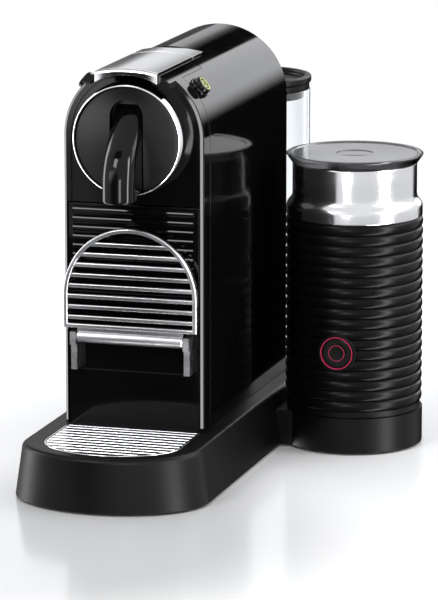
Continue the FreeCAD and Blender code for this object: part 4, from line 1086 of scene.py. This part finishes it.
def backdrop(tree, colour, strength):
    """A background shader of one colour."""
    shader = tree.nodes.new("ShaderNodeBackground")
    shader.inputs["Color"].default_value = colour
    shader.inputs["Strength"].default_value = strength
    return shader


def mix(tree, share, first, second):
    """Two shaders blended by a share of the second."""
    blend = tree.nodes.new("ShaderNodeMixShader")
    tree.links.new(share, blend.inputs["Fac"])
    tree.links.new(first, blend.inputs[1])
    tree.links.new(second, blend.inputs[2])
    return blend.outputs["Shader"]


def add_world():
    """A pale room for light, a studio for reflections, and white for the camera and through clear walls."""
    world = bpy.data.worlds.new("studio")
    bpy.context.scene.world = world
    world.use_nodes = True
    tree = world.node_tree
    tree.nodes.clear()
    out = tree.nodes.new("ShaderNodeOutputWorld")
    place = tree.nodes.new("ShaderNodeTexCoord")
    path = tree.nodes.new("ShaderNodeLightPath")
    room = backdrop(tree, STUDIO_WHITE, ROOM_LIGHT)
    mirror = backdrop(tree, STUDIO_WHITE, 1.0)
    tree.links.new(studio_glow(tree, place, path), mirror.inputs["Strength"])
    white = backdrop(tree, PURE_WHITE, BACKDROP_LIGHT)
    straight = ramp_of(tree, path.outputs["Glossy Depth"], 0.0, 1.0, 1.0, 0.0)
    through = product_of(tree, path.outputs["Is Transmission Ray"], straight)
    in_view = most_of(tree, path.outputs["Is Camera Ray"], through)
    lit = mix(tree, path.outputs["Is Glossy Ray"], room.outputs["Background"], mirror.outputs["Background"])
    tree.links.new(mix(tree, in_view, lit, white.outputs["Background"]), out.inputs["Surface"])


def add_floor():
    """A pale floor with a soft sheen in front of the machine."""
    bpy.ops.mesh.primitive_plane_add(size=FLOOR_SIZE, location=FLOOR_MIDDLE)
    floor = bpy.context.object
    floor.name = "floor"
    bpy.ops.object.transform_apply(location=True, rotation=True, scale=True)
    look, tree, shader, place = new_finish("floor_white")
    cloud = grain(tree, place, scale=2.0, detail=2.0)
    tree.links.new(tint(tree, cloud, (0.8, 0.8, 0.8), (0.82, 0.82, 0.82)), shader.inputs["Base Color"])
    tree.links.new(spread(tree, cloud, 0.12, 0.16), shader.inputs["Roughness"])
    shader.inputs["IOR"].default_value = 1.35
    away = tree.nodes.new("ShaderNodeVectorMath")
    away.operation = "DISTANCE"
    away.inputs[1].default_value = FLOOR_SHEEN_MIDDLE
    tree.links.new(place.outputs["Object"], away.inputs[0])
    tree.links.new(ramp_of(tree, away.outputs["Value"], 0.1, 0.25, 0.45, 0.0), shader.inputs["Metallic"])
    floor.data.materials.append(look)
    floor.visible_glossy = False


def reflection_card(name, middle, width, height, glow=0.0):
    """An upright card that only reflections see, as a photographer sets one."""
    bpy.ops.object.select_all(action="DESELECT")
    bpy.ops.mesh.primitive_plane_add(size=1.0, location=middle, rotation=(math.pi / 2.0, 0.0, 0.0))
    card = bpy.context.object
    card.name = name
    card.scale = (width, height, 1.0)
    bpy.ops.object.transform_apply(location=True, rotation=True, scale=True)
    card.visible_camera = False
    card.visible_shadow = False
    card.visible_diffuse = False
    card.visible_transmission = False
    paper, tree, shader, place = new_finish(name + "_paper")
    shader.inputs["Roughness"].default_value = 1.0
    shader.inputs["Specular IOR Level"].default_value = 0.0
    felt = grain(tree, place, scale=60.0, detail=2.0)
    black = tint(tree, felt, (0.001, 0.001, 0.001), (0.002, 0.002, 0.002))
    tree.links.new(black, shader.inputs["Base Color"])
    shader.inputs["Emission Color"].default_value = STUDIO_WHITE
    shader.inputs["Emission Strength"].default_value = glow
    card.data.materials.append(paper)
    return tree, shader, place


def add_cards():
    """Black cards low in front and over the lever's lip, pale ones for the lid and in front,
    and one that brightens to its upper left for the brewing head."""
    reflection_card("dark_card", (-0.146, -0.4, 0.065), 0.115, 0.25)
    reflection_card("lip_card", (-0.058, -0.15, 0.27), 0.036, 0.04)
    reflection_card("lid_card", (-0.0225, 0.4, 0.275), 0.105, 0.05, glow=1.3)
    reflection_card("front_box", (0.075, -0.5, 0.185), 0.09, 0.17, glow=12.0)
    tree, shader, place = reflection_card("head_card", (-0.0975, -0.2, 0.195), 0.115, 0.11)
    x, _, z = split(tree, place.outputs["Object"])
    fade = sum_of(tree, ramp_of(tree, x, -0.055, -0.115, 0.0, 0.5), ramp_of(tree, z, 0.195, 0.25, 0.0, 0.5))
    tree.links.new(ramp_of(tree, fade, 0.3, 1.0, 0.02, 4.5), shader.inputs["Emission Strength"])


def add_studio():
    """Camera, room, floor, cards and two lamps."""
    add_camera()
    add_world()
    add_floor()
    add_cards()
    add_softbox("key_left", (-0.6, -1.3, 1.3), (-0.04, 0.0, 0.14), width=0.5, height=0.5, power=11.0)
    add_softbox("fill_right", (1.5, 0.15, 1.1), (0.0, 0.0, 0.14), width=0.6, height=1.0, power=9.0)


bpy.ops.object.select_all(action="DESELECT")
finish = finishes()
paint_nodes()
body_shell()
front_frame()
brewing_disc()
bright_ring()
coffee_spout()
lever_carrier()
lever_plate()
lever_trim()
shoulder_button(1, "espresso_key", "espresso_key", "espresso_button", ESPRESSO_MARK)
shoulder_button(-1, "lungo_key", "lungo_key", "lungo_button", LUNGO_MARK)
button_seats()
ribbed_front()
drip_grid()
cup_rest()
clear_tank()
tank_cover()
ribbed_sleeve()
frother_controls()
polished_collar()
smoky_lid()
add_studio()

bpy.context.scene.view_settings.view_transform = "Standard"
